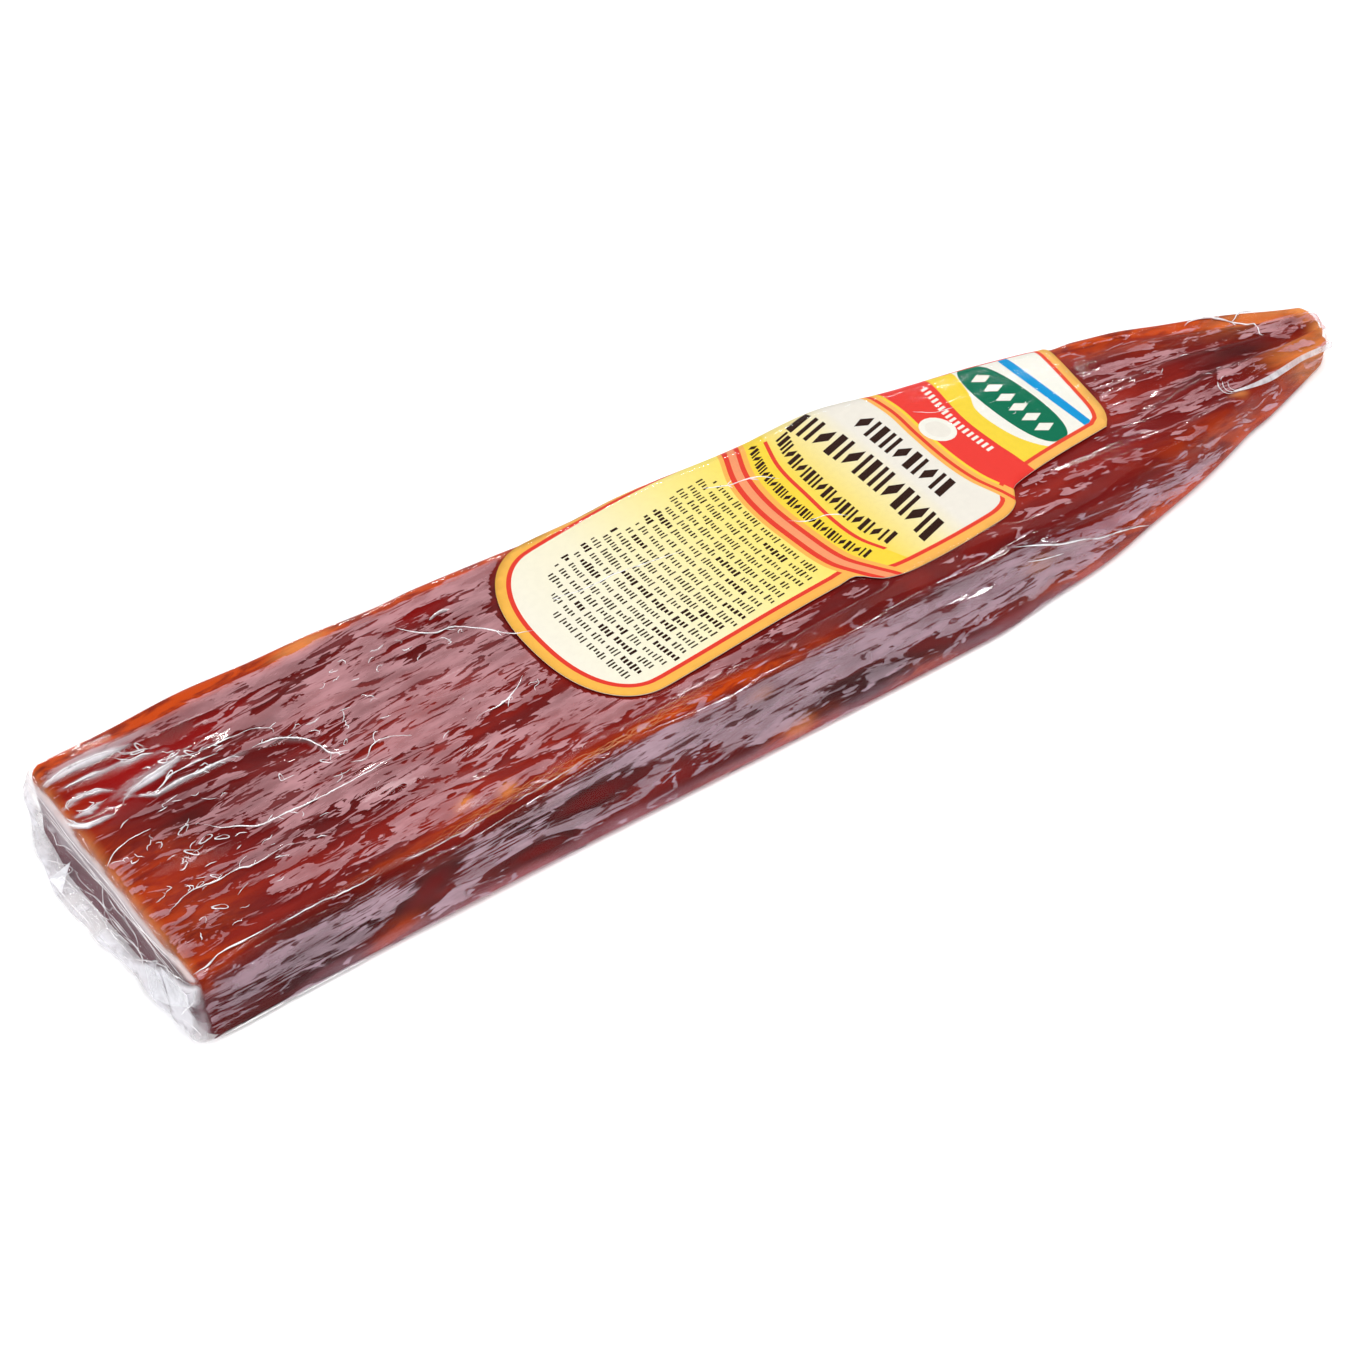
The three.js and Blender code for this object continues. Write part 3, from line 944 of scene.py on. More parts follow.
@dataclass(frozen=True)
class FilmFinish:
    """Clear film that clings to the meat in places and stands off it in others, where its haze is
    partly painted reflection, and folds white, with painted highlights along some folds.
    """

    ior: float = 1.5
    roughness: float = 0.06
    contact_gain: float = 0.22
    gap_gain: float = 0.6
    haze_and_sheen: float = 0.36
    clear: Colour = (1.0, 1.0, 1.0)
    warm_haze_and_sheen: Colour = (0.84, 0.43, 0.46)
    cool_haze_and_floor_sheen: Colour = (0.78, 0.50, 0.60)
    fold_and_highlight_colour: Colour = srgb(244, 243, 248)

    def _gap(self, g: Graph, skin: Socket) -> Socket:
        """Finds where the film stands off the meat, with sharp ragged edges.

        Args:
            g: The material's graph.
            skin: Places on the skin.

        Returns:
            1 where it stands off and 0 where it clings.
        """
        bias = g.painted("gap")
        large = g.noise(skin, (42, 110, 1), 0.1, 2, 0.5, 0.5)
        small = g.noise(skin, (108, 460, 1), 0.12, 3, 0.56, 1.1)
        wrinkles = g.noise(skin, (90, 1900, 1), 0.05, 3, 0.6, 0.4)
        raw = g.math("ADD", g.times(large, 0.42), g.times(small, 0.58))
        raw = g.math("MULTIPLY_ADD", g.math("SUBTRACT", wrinkles, raw), g.painted("fine"), raw)
        off = g.ramp(g.math("ADD", raw, bias), 0.494, 0.508)
        slit = g.ramp(g.noise(skin, (105, 640, 7), 0.12, 3, 0.56, 1), 0.568, 0.584, 1, 0.12)
        fleck = g.ramp(g.noise(skin, (125, 470, 3), 0.1, 3, 0.55, 1), 0.592, 0.61)
        fleck = g.times(fleck, g.ramp(bias, -0.34, -0.2))
        return g.math("MAXIMUM", g.times(off, slit), fleck)

    def material(self) -> Material:
        """Makes the finish.

        Returns:
            The material.
        """
        g = Graph("clear_film")
        skin = g.painted("skin", "Vector")
        gap = self._gap(g, skin)
        normal = g.bump(g.noise(skin, (110, 420, 1), 0.08, 3, 0.5, 0.3), 0.3, 0.0004)
        fresnel = g.add("ShaderNodeFresnel", {"IOR": self.ior, "Normal": normal})
        gain = g.math("MULTIPLY_ADD", gap, self.gap_gain, self.contact_gain)
        gain = g.times(gain, g.painted("gloss"))
        gloss = {"Color": self.clear, "Roughness": self.roughness, "Normal": normal}
        gloss = g.add("ShaderNodeBsdfGlossy", gloss)
        clear = g.add("ShaderNodeBsdfTransparent", {"Color": self.clear})
        # The haze where the film stands off is partly the film's milkiness and partly painted
        # reflection; on the near side it is lilac, partly painted reflection of the pale floor.
        milk = g.mix(g.painted("cool"), self.warm_haze_and_sheen, self.cool_haze_and_floor_sheen)
        milk = g.add("ShaderNodeBsdfDiffuse", {"Color": milk})
        mottle = g.noise(skin, (70, 240, 5), 0.1, 4, 0.62)
        mottle = g.ramp(mottle, 0.34, 0.68, 0.72 * self.haze_and_sheen, 1.5 * self.haze_and_sheen)
        haze_and_sheen = g.times(g.math("MAXIMUM", gap, g.painted("veil")), mottle)
        body = g.blend(g.times(haze_and_sheen, g.painted("milk")), clear, milk)
        surface = g.blend(g.times(fresnel, gain, True), body, gloss)
        # white of the film gathered at the cut end, and of the painted highlights along folds on
        # top
        white = g.add("ShaderNodeBsdfDiffuse", {"Color": self.fold_and_highlight_colour})
        through = g.add("ShaderNodeBsdfTranslucent", {"Color": self.fold_and_highlight_colour})
        crumple = g.noise(g.place(), (300, 110, 160), 0.3, 4, 0.6, 1.2)
        cloud = g.times(g.painted("cloud"), g.ramp(crumple, 0.3, 0.7, 0.88, 1.08), True)
        return g.finish(g.blend(cloud, surface, g.blend(0.25, white, through)))


@dataclass(frozen=True)
class CreaseFinish:
    """The sharp white line that a crease in the film shows: whitened film, and a painted highlight
    along it.
    """

    colour: Colour = srgb(250, 248, 250)
    cover: float = 0.95
    break_up: float = 220.0

    def material(self) -> Material:
        """Makes the finish.

        Returns:
            The material.
        """
        g = Graph("crease_white_and_highlight")
        speck = g.noise(g.place(), (self.break_up,) * 3, 0, 3, 0.6)
        cover = g.ramp(speck, 0.3, 0.55, 0.35 * self.cover, self.cover)
        clear = g.add("ShaderNodeBsdfTransparent")
        return g.finish(g.blend(cover, clear, g.coat(self.colour, 0.18, 0.9)))


@dataclass(frozen=True)
class FlapFinish:
    """Film folded over itself: grey-white, and half clear."""

    colour: Colour = srgb(244, 244, 248)
    cover: float = 0.46

    def material(self) -> Material:
        """Makes the finish.

        Returns:
            The material.
        """
        g = Graph("folded_film")
        crumple = g.noise(g.place(), (180, 120, 200), 0.4, 4, 0.6, 1)
        cover = g.ramp(crumple, 0.3, 0.7, 0.6 * self.cover, 1.3 * self.cover)
        clear = g.add("ShaderNodeBsdfTransparent")
        white = g.coat(self.colour, 0.25, 0.6, Normal=g.bump(crumple, 0.5, 0.0006))
        return g.finish(g.blend(cover, clear, white))


class Ink(Enum):
    """The colours of the label's print: name, then display colours from cut end to tip."""

    BORDER = ("border", ((0, (236, 178, 76)), (0.5, (240, 174, 84)), (1, (240, 180, 92))))
    RED = ("red_line", ((0, (218, 58, 44)), (0.5, (222, 62, 46)), (1, (226, 74, 50))))
    CREAM = ("cream", (
        (0, (235, 230, 216)), (0.16, (237, 230, 200)), (0.34, (240, 224, 138)),
        (0.43, (240, 218, 104)),
    ))
    YELLOW = ("yellow", ((0, (238, 208, 66)), (1, (238, 206, 60))))
    PANEL = ("panel", (
        (0.5, (238, 210, 84)), (0.575, (236, 222, 160)), (0.63, (230, 224, 212)),
        (1, (230, 225, 214)),
    ))
    BLUSH = ("blush", ((0, (236, 150, 104)), (1, (236, 150, 104))))
    BANNER = ("banner", ((0, (228, 56, 52)), (1, (230, 62, 52))))
    WHITE = ("white", ((0, (236, 233, 222)), (1, (236, 233, 222))))
    GREEN = ("green", ((0, (0, 104, 74)), (1, (2, 110, 78))))
    BLUE = ("blue", ((0, (6, 140, 198)), (1, (14, 146, 206))))
    BROWN = ("brown", ((0, (44, 20, 12)), (1, (48, 22, 12))))
    PRINT = ("fine_print", ((0, (58, 46, 34)), (0.4, (56, 40, 14))))

    def material(self) -> Material:
        """Makes the printed finish.

        Returns:
            The material.
        """
        name, stops = self.value
        g = Graph(f"label_{name}")
        along = g.add("ShaderNodeSeparateXYZ", {0: g.add("ShaderNodeUVMap", uv_map="label")})
        colour = g.colours(along, [(at, srgb(*c)) for at, c in stops])
        shade = g.ramp(g.noise(g.place(), (900, 900, 900), 0, 2), 0.2, 0.8, 0.96, 1)
        colour = g.add("ShaderNodeVectorMath", {0: colour, 1: shade}, operation="MULTIPLY")
        return g.finish(g.coat(colour, 0.6, 0.03))


@dataclass(frozen=True)
class PrintShape:
    """A printed shape: its outline in (x, s), its ink and whether it may cover the border."""

    outline: Outline
    ink: Ink
    over_border: bool = False


@dataclass
class LabelPrint:
    """The layout of the label: its outline, its fields of colour and its rows of dashes."""

    seed: int = 7
    start: float = 89.6
    end: float = 229.8
    end_slant: float = 6.5
    arch: float = 15.0
    arch_power: float = 2.3
    border: float = 2.1
    line: float = 0.95
    lowest: int = -27
    highest: int = 30
    near_edge: Profile = Profile((
        (88.9, -26), (106, -25.5), (133, -23.2), (147, -22.2), (151, -22), (155, -25.4),
        (163, -26.4), (184, -24.9), (190, -22.6), (194, -17.8), (229.8, -10.6),
    ))
    far_edge: Profile = Profile((
        (88.9, 21), (104, 23.4), (128, 26.2), (164, 28.6), (188, 27), (200, 24), (229.8, 20),
    ))
    double_line: Profile = Profile((
        (-27, 157.5), (-21.7, 153.7), (-16.2, 150.6), (-6.8, 149.2), (4.1, 148.8), (13.8, 150.3),
        (22, 153.8), (30, 157.5),
    ))
    stripe: Profile = Profile((
        (-27, 164), (-19.5, 160.6), (-14, 158.1), (-7.5, 157.3), (2, 157.7), (12.5, 158.6),
        (21, 161.4), (30, 165),
    ))
    panel_edge: Profile = Profile((
        (-27, 192.5), (-18.6, 190.6), (-12, 188.4), (-4, 187.6), (6, 188), (14, 188.7), (22, 188),
        (30, 187),
    ))
    banner_edge: Profile = Profile((
        (-27, 201), (-11.1, 200.4), (-5.6, 199.8), (3, 199.5), (9, 200.2), (16, 201.6), (22, 202.2),
        (30, 203),
    ))
    wave: Profile = Profile((
        (-27, 224), (-14.6, 214.5), (-12.4, 209.6), (-7.5, 205.6), (-1.1, 203.8), (6.1, 203.8),
        (11, 206.2), (18, 208.2), (30, 210),
    ))
    beyond: Profile = Profile(((-27, 245), (30, 245)))

    def __post_init__(self) -> None:
        """Lays the label out."""
        self.random = np.random.default_rng(self.seed)
        self.outline = self._outline()
        self.inner_line = self._inset(self.border)
        self.inner = self._inset(self.border + self.line)
        self.shapes = [*self._fields(), *self._fine_print(), *self._bold_rows(), *self._emblem()]

    def edge_point(self, lengthways: float, across: float) -> tuple[float, float]:
        """Finds a place on the label by its own two shares.

        Args:
            lengthways: 0 at its cut-end side, 1 at its tip side.
            across: 0 at its near edge, 1 at its far edge.

        Returns:
            The place (x, s).
        """
        off_middle = abs(2 * across - 1)
        arch = (1 - off_middle ** self.arch_power) ** (1 / self.arch_power)
        start = self.start + self.arch * (1 - arch)
        end = self.end + self.end_slant * (across - 0.5) - 3 * off_middle ** 7
        x = start + (end - start) * lengthways
        near, far = float(self.near_edge.at(x)), float(self.far_edge.at(x))
        return x, near + (far - near) * across

    def _outline(self) -> Array:
        """The edge of the label, counter-clockwise, with rounded tip corners."""
        along, closest = np.linspace(0, 1, 90, endpoint=False), 0.35
        up, down = np.linspace(0, 1, 24, endpoint=False), np.linspace(0, 1, 60, endpoint=False)
        cut = 1 - (1 - np.abs(2 * down - 1)) ** 1.6
        cut = np.where(down < 0.5, cut, -cut)
        points = [self.edge_point(t, 0) for t in along] + [self.edge_point(1, t) for t in up]
        points += [self.edge_point(1 - t, 1) for t in along]
        points += [self.edge_point(0, (1 + c) / 2) for c in cut]
        keep = [np.array(points[0])]
        for point in np.array(points[1:]):
            if np.hypot(*(point - keep[-1])) > closest:
                keep.append(point)
        return np.array(keep)

    def _inset(self, distance: float) -> Array:
        """Moves the outline inwards.

        Args:
            distance: How far.

        Returns:
            The new outline.
        """
        ring = self.outline
        along = np.roll(ring, -2, axis=0) - np.roll(ring, 2, axis=0)
        along /= np.linalg.norm(along, axis=1, keepdims=True)
        moved = ring + np.stack([-along[:, 1], along[:, 0]], -1) * distance
        return moved[self.depth(moved) > distance * 0.93]

    def depth(self, points: Array) -> Array:
        """Finds how far inside the label's outline some places are.

        Args:
            points: Places (x, s), one to a row.

        Returns:
            Distances to the outline, negative outside it.
        """
        best = np.full(len(points), np.inf)
        inside = np.zeros(len(points), bool)
        for a, b in zip(self.outline, np.roll(self.outline, -1, axis=0)):
            line = b - a
            t = np.clip(((points - a) @ line) / (line @ line), 0, 1)
            best = np.minimum(best, np.linalg.norm(points - a - t[:, None] * line, axis=1))
            crosses = (a[1] > points[:, 1]) != (b[1] > points[:, 1])
            if crosses.any():
                at = a[0] + (points[:, 1] - a[1]) / (b[1] - a[1]) * (b[0] - a[0])
                inside ^= crosses & (points[:, 0] < at)
        return np.where(inside, best, -best)

    def _between(
        self, first: Profile, shift: float, second: Profile, back_shift: float,
        low: int | None = None, high: int | None = None,
    ) -> Outline:
        """Makes the field between two curves across the label.

        Args:
            first: The curve on its cut-end side, x for each s.
            shift: How far from it the field starts.
            second: The curve on its tip side.
            back_shift: How far from that one it ends.
            low: Where it starts across the label, if it isn't at the edge.
            high: Where it ends.

        Returns:
            Its outline.
        """
        low = self.lowest if low is None else low
        high = self.highest if high is None else high
        across = np.linspace(low, high, high - low + 1)
        there = [(x + shift, s) for x, s in zip(first.at(across), across)]
        back = [(x + back_shift, s) for x, s in zip(second.at(across), across)]
        return tuple(there + back[::-1])

    def _fields(self) -> list[PrintShape]:
        """The fields of colour, from the lowest to the topmost."""
        double, stripe, panel = self.double_line, self.stripe, self.panel_edge
        fields = (
            (Ink.YELLOW, False, double, 0, stripe, 0),
            (Ink.PANEL, False, stripe, 0, panel, 0),
            (Ink.YELLOW, False, panel, 0, self.beyond, 0),
            (Ink.WHITE, False, self.wave, 0, self.beyond, 0),
            (Ink.BORDER, True, double, -3.1, double, 3.2),
            (Ink.RED, True, double, -2.1, double, -0.9),
            (Ink.BLUSH, True, double, -0.9, double, 0.9),
            (Ink.RED, True, double, 0.9, double, 2),
            (Ink.RED, False, stripe, -0.4, stripe, 0.5, -19, 21),
            (Ink.BORDER, True, panel, -1.5, panel, 1.5),
            (Ink.RED, True, panel, -0.5, panel, 0.4),
            (Ink.BANNER, True, panel, 2.2, self.banner_edge, 0),
        )
        return [PrintShape(self._between(*sides), ink, over) for ink, over, *sides in fields]

    @staticmethod
    def _bar(x: float, s: float, length: float, width: float, lean: float) -> Outline:
        """Makes a small bar, longer along x.

        Args:
            x: Its middle along the bar.
            s: Its middle round the bar.
            length: Its size along x.
            width: Its size along s.
            lean: How far one end is pushed sideways.

        Returns:
            Its outline.
        """
        return (
            (x - length / 2, s - width / 2 - lean), (x + length / 2, s - width / 2 + lean),
            (x + length / 2, s + width / 2 + lean), (x - length / 2, s + width / 2 - lean),
        )

    @staticmethod
    def _oval(x: float, s: float, length: float, width: float, steps: int = 4) -> Outline:
        """The outline of a small oval, or of a lozenge if it has four steps."""
        turns = [math.tau * k / steps for k in range(steps)]
        return tuple((x + length / 2 * math.cos(t), s + width / 2 * math.sin(t)) for t in turns)

    def _fine_print(self) -> list[PrintShape]:
        """Rows of short strokes across the cream field, bolder in some words."""
        shapes, pick = [], self.random
        first_x, pitch, rows = 98.6, 2.42, 20
        for row in range(rows):
            x = first_x + pitch * row
            s = float(np.interp(row, [0, 4, rows], [-20.5, -21.5, -17.5])) + pick.uniform(0, 1.5)
            high = float(np.interp(row, [0, 2, 5, rows], [6, 13, 17, 19.5])) - pick.uniform(0, 3)
            while s < high:
                word = pick.uniform(2.2, 6.5)
                bold = pick.random() < 0.22
                end = min(s + word, high)
                while s < end:
                    width = pick.uniform(0.54, 0.68) if bold else pick.uniform(0.34, 0.46)
                    tall = pick.choice([0.95, 1.25, 1.25, 1.7])
                    up = pick.uniform(-0.12, 0.12)
                    bow = 0.0035 * (s + 1) ** 2
                    outline = self._bar(x + bow + up, s + width / 2, tall, width, 0.08)
                    shapes.append(PrintShape(outline, Ink.BROWN if bold else Ink.PRINT))
                    s += width + (0.34 if bold else pick.uniform(0.38, 0.56))
                s += 0.75
        return shapes

    def _row(
        self, curve: Callable[[float], float], low: float, high: float, tall: float, stem: float,
        gap: float,
    ) -> list[PrintShape]:
        """Makes one bold row of lozenges and of leaning bars, broad and narrow.

        Args:
            curve: The row's middle, x for each s.
            low: Where it starts.
            high: Where it ends.
            tall: Height of its shapes, along x.
            stem: Their width.
            gap: The space between them.

        Returns:
            The shapes.
        """
        broad, narrow, lozenge = 1.25, 0.7, 1.8
        order = (broad, narrow, lozenge, narrow, broad, lozenge, narrow, narrow)
        shapes, s = [], low
        while s < high:
            kind = order[len(shapes) % len(order)]
            wide = stem * kind
            middle = s + wide / 2
            x = curve(middle)
            if kind == lozenge:
                outline = self._oval(x, middle, tall * 0.95, wide)
            else:
                outline = self._bar(x, middle, tall, wide, 0.16 * tall)
            shapes.append(PrintShape(outline, Ink.BROWN))
            s += wide + gap
        return shapes

    def _bold_rows(self) -> list[PrintShape]:
        """The rows that stand for the bold words, and the small marks by the banner."""
        double, stripe = self.double_line, self.stripe
        rows = (
            (lambda s: float(double.at(s) + stripe.at(s)) / 2 + 1, -18.5, 20.5, 2.5, 0.6, 0.38),
            (lambda s: float(stripe.at(s)) + 4, -17.5, 20.5, 3.7, 0.85, 0.55),
            (lambda s: 172.8 - 0.004 * s * s, -20.5, 21.5, 6.8, 1.5, 0.95),
            (lambda s: 181.6, -12, 15.5, 5.6, 1.45, 0.95),
        )
        shapes = [shape for row in rows for shape in self._row(*row)]
        for s in np.arange(-6, 17.5, 1.45):
            mark = self._bar(float(self.banner_edge.at(s)) - 2.4, s, 1.9, 0.75, 0.2)
            shapes.append(PrintShape(mark, Ink.WHITE))
        seal = PrintShape(self._oval(192.6, 4.6, 7.4, 8.4, 20), Ink.WHITE)
        return [*shapes, seal, PrintShape(self._oval(192.6, 4.6, 5, 5.8, 16), Ink.PANEL)]

    def _emblem(self) -> list[PrintShape]:
        """A straight green band with white lozenges and a thin blue stripe beyond it."""
        band = self._rounded(((206.6, -11), (206.6, 20), (217.6, 20), (217.6, -11)))
        stripe = ((219.8, -10), (222, -10), (222, 18), (219.8, 18))
        lozenges = [
            PrintShape(self._oval(212.1, s, 5.2, 2.9), Ink.WHITE) for s in np.arange(-5.6, 16, 4)
        ]
        return [PrintShape(band, Ink.GREEN), PrintShape(stripe, Ink.BLUE), *lozenges]

    @staticmethod
    def _rounded(corners: Outline, rounds: int = 3) -> Outline:
        """Cuts the corners of an outline until it is smooth.

        Args:
            corners: Its corners.
            rounds: How often they are cut.

        Returns:
            The smooth outline.
        """
        ring = np.array(corners, float)
        for _ in range(rounds):
            after = np.roll(ring, -1, axis=0)
            cuts = [0.75 * ring + 0.25 * after, 0.25 * ring + 0.75 * after]
            ring = np.stack(cuts, 1).reshape(-1, 2)
        return tuple(map(tuple, ring))


class SkinMap:
    """Finds the point of the bar's skin at a place (x, s), for whatever lies on it."""

    ALONG, AROUND = 0.75, 0.5

    def __init__(self, shape: BarShape, ring: Ring) -> None:
        """Reads the skin on a regular grid.

        Args:
            shape: The bar's surface.
            ring: Point counts of a section.
        """
        self.x = np.arange(60, 250, self.ALONG)
        self.s = np.arange(-44, 50, self.AROUND)
        grids = shape.sections(self.x, ring)
        places = shape.round_the_bar(grids[0], ring)
        self.grids = np.empty((2, len(self.x), len(self.s), 3))
        for i, row in enumerate(places):
            order = np.argsort(row)
            for which, axis in product(range(2), range(3)):
                values = grids[which][i, order, axis]
                self.grids[which, i, :, axis] = np.interp(self.s, row[order], values)

    def at(self, places: Array, lift: float) -> Array:
        """Finds points over the skin.

        Args:
            places: Places (x, s), one to a row.
            lift: How far off the skin the points are.

        Returns:
            Points in millimetres.
        """
        u = np.clip((places[:, 0] - self.x[0]) / self.ALONG, 0, len(self.x) - 1.001)
        v = np.clip((places[:, 1] - self.s[0]) / self.AROUND, 0, len(self.s) - 1.001)
        i, j = u.astype(int), v.astype(int)
        fu, fv = (u - i)[:, None], (v - j)[:, None]
        points, outward = (
            (1 - fu) * (1 - fv) * grid[i, j] + fu * (1 - fv) * grid[i + 1, j]
            + (1 - fu) * fv * grid[i, j + 1] + fu * fv * grid[i + 1, j + 1]
            for grid in self.grids
        )
        return points + outward / np.linalg.norm(outward, axis=1, keepdims=True) * lift


@dataclass(frozen=True)
class Label:
    """The printed paper label, a thin closed sheet under the film."""

    layout: LabelPrint
    skin: SkinMap
    lift: float = 0.1
    thickness: float = 0.14

    def _sheet(self) -> tuple[Array, Faces, list[int]]:
        """Cuts the flat label into faces along its print.

        Returns:
            Places (x, s) of the corners, the faces, and the ink of each as its number.
        """
        layout, inks = self.layout, list(Ink)
        vertices, loops = [], []
        shapes = [shape.outline for shape in layout.shapes]
        for outline in map(np.array, (layout.outline, layout.inner_line, layout.inner, *shapes)):
            ordered = outline if self.area(outline) > 0 else outline[::-1]
            loops.append(list(range(len(vertices), len(vertices) + len(outline))))
            vertices += map(Vector, ordered.tolist())
        gx, gs = np.meshgrid(np.arange(90, 233, 2), np.arange(-26, 29, 1.6), indexing="ij")
        grid = np.stack([gx.ravel(), gs.ravel()], -1)
        vertices += map(Vector, grid[layout.depth(grid) > 0.8].tolist())
        places, _, cut, _, _, owners = delaunay_2d_cdt(vertices, [], loops, 0, 1e-5)
        whole, red, cream = range(3)
        faces, kinds = [], []
        for face, owner in zip(cut, owners):
            if whole not in owner:
                continue
            ink = Ink.CREAM if cream in owner else Ink.RED if red in owner else Ink.BORDER
            for index in sorted(o for o in owner if o > cream):
                shape = layout.shapes[index - cream - 1]
                if cream in owner or shape.over_border:
                    ink = shape.ink
            faces.append(face)
            kinds.append(inks.index(ink))
        used = sorted({i for face in faces for i in face})
        new = {old: i for i, old in enumerate(used)}
        flat = np.array([(places[i].x, places[i].y) for i in used])
        return flat, [tuple(new[i] for i in face) for face in faces], kinds

    def build(self) -> Object:
        """Makes the label.

        Returns:
            The object.
        """
        flat, faces, kinds = self._sheet()
        count, layout = len(flat), self.layout
        levels = [self.skin.at(flat, lift) for lift in (self.lift + self.thickness, self.lift)]
        edges = {}
        for face in faces:
            for a, b in zip(face, face[1:] + face[:1]):
                if edges.pop((b, a), None) is None:
                    edges[a, b] = (a + count, b + count, b, a)
        hidden = [tuple(i + count for i in face[::-1]) for face in faces] + list(edges.values())
        kinds = kinds + [list(Ink).index(Ink.WHITE)] * len(hidden)
        materials = [ink.material() for ink in Ink]
        points = np.concatenate(levels)
        obj = MeshMaker.build("label_print", points, faces + hidden, materials, kinds)
        corners = np.empty(len(obj.data.loops), np.int32)
        obj.data.loops.foreach_get("vertex_index", corners)
        sides = layout.end - layout.start, 55
        uv = (np.concatenate([flat, flat]) - (layout.start, layout.lowest)) / sides
        obj.data.uv_layers.new(name="label").data.foreach_set("uv", uv[corners].ravel())
        return obj

    @staticmethod
    def area(outline: Array) -> float:
        """The area inside an outline, positive if it runs counter-clockwise."""
        (x, y), (x_next, y_next) = outline.T, np.roll(outline, -1, axis=0).T
        return float(np.sum(x * y_next - x_next * y)) / 2


@dataclass(frozen=True)
class Fillet:
    """The meat itself, a little inside the film and cut square at one end."""

    shape: BarShape
    cut: CutEnd
    inset: float = 0.35
    ring: Ring = Ring(underside=26, far_side=10, top=70, near_side=20, corner=6)
    step: float = 1.1
    end_steps: Outline = ((0, 3.4), (0.35, 2.3), (0.9, 1.6), (1.8, 1.2), (2.8, 1.05), (3.9, 1))
    end_scales: tuple[float, ...] = (0.9, 0.8, 0.68, 0.55, 0.4, 0.25, 0.12)
    tip_steps: Outline = ((0, 3.2), (0.35, 2.3), (0.8, 1.6), (1.6, 1.1))
    tip_scales: tuple[float, ...] = (0.6, 0.35, 0.15)
    fat: tuple[Patch, ...] = (
        Patch(58.8, -27.2, 2.2, 1.1, 0.9, 20), Patch(66.9, -28.9, 2.2, 1.3, 1, 20),
        Patch(57, 26.5, 6, 1.6, 0.9), Patch(120.6, -35.5, 3, 1.4, 0.55),
        Patch(190.5, -37, 4.6, 1.8, 0.8, -10), Patch(128.6, -46.5, 3.5, 2.2, 0.5),
        Patch(258.2, -16.4, 2.4, 1.4, 0.5), Patch(284, 7.5, 14, 4, 0.55),
        Patch(286, -11, 13, 3.4, 0.7), Patch(296, 2, 5, 6, 1), Patch(295, -6, 5, 3, 0.9),
        Patch(289, -16.5, 12, 3.6, 0.55),
    )
    # amber: places where light shines through thin meat, painted into the colour
    amber: tuple[Patch, ...] = (
        Patch(8, -6, 9, 9, 0.26), Patch(9, -20, 9, 8, 0.3), Patch(4, -31, 9, 2.2, 0.35),
        Patch(39, -46, 6, 3, 0.6), Patch(128.6, -47, 8, 2.6, 0.75), Patch(112, -49, 9, 1.8, 0.35),
        Patch(160, -47.5, 9, 2.5, 0.5), Patch(205, -43, 16, 3.6, 0.6),
        Patch(225, -36, 22, 3.4, 0.6), Patch(255, -24, 26, 4.4, 0.6),
        Patch(285, -10, 14, 4.6, 0.65), Patch(283, 7.5, 17, 6, 0.55), Patch(236, 12, 12, 2.4, 0.4),
        Patch(60, -29.5, 10, 1.6, 0.4), Patch(118, -31.5, 22, 1.6, 0.6),
        Patch(80, -30.5, 9, 1.2, 0.3), Patch(257, 9.5, 14, 4, 0.4), Patch(250, 16, 30, 3, 0.45),
        Patch(45, -30.5, 14, 1.3, 0.38), Patch(102, -30.6, 16, 1.5, 0.42),
        Patch(284, -17, 17, 4.2, 0.6),
    )
    vivid: tuple[Patch, ...] = (
        Patch(9, 15, 13, 8, 0.9, 8), Patch(26, 18, 16, 4, 0.8, 5), Patch(40, 2, 9, 5, 0.4),
        Patch(78, 20, 9, 5, 0.6), Patch(46.5, -40.5, 6, 2.6, 0.45, 25),
        Patch(83.5, -39, 10, 1.8, 0.4), Patch(68.5, -44.5, 7, 1.4, 0.45),
        Patch(100, -46, 24, 3, 0.3), Patch(212, -18, 24, 5, 0.3),
    )
    tone: tuple[Patch, ...] = (
        Patch(14, 17, 16, 6, -0.12), Patch(38, 1, 10, 6, -0.05), Patch(46.5, -40.5, 7, 3, -0.3, 25),
        Patch(83.5, -39, 11, 2.2, -0.3), Patch(68.5, -44.5, 8, 1.8, -0.26),
        Patch(112, -47, 12, 2, -0.14), Patch(140, -45, 20, 4, -0.12), Patch(205, -20, 26, 5, 0.08),
        Patch(50, -25, 40, 6, 0.12), Patch(20, -40, 18, 6, -0.12), Patch(90, -42, 90, 9, -0.09),
        Patch(110, -49.5, 110, 2.6, 0.2), Patch(268, -1, 16, 6, -0.08), Patch(82, 20, 8, 6, -0.06),
    )

    def _cut_face(self, section: Array, x: float) -> Array:
        """Places one ring of the cut face, which swells out above its foot.

        Args:
            section: Points of the ring.
            x: Where the face would be if it were flat.

        Returns:
            The points in their places.
        """
        y, z = section[:, 1], section[:, 2]
        swell = 0.7 * self.cut.lip(y, z) * rise(z, 0.8, 2.2) * fall(x, 1.2, 3.4)
        return np.stack([x - swell, y, z], -1)

    @staticmethod
    def amber_width(x: Array) -> Array:
        """Width in millimetres of the amber strip along the far edge."""
        return np.interp(x, [0, 30, 85, 110, 200, 260], [5.2, 5.2, 4.7, 3.2, 2.6, 4])

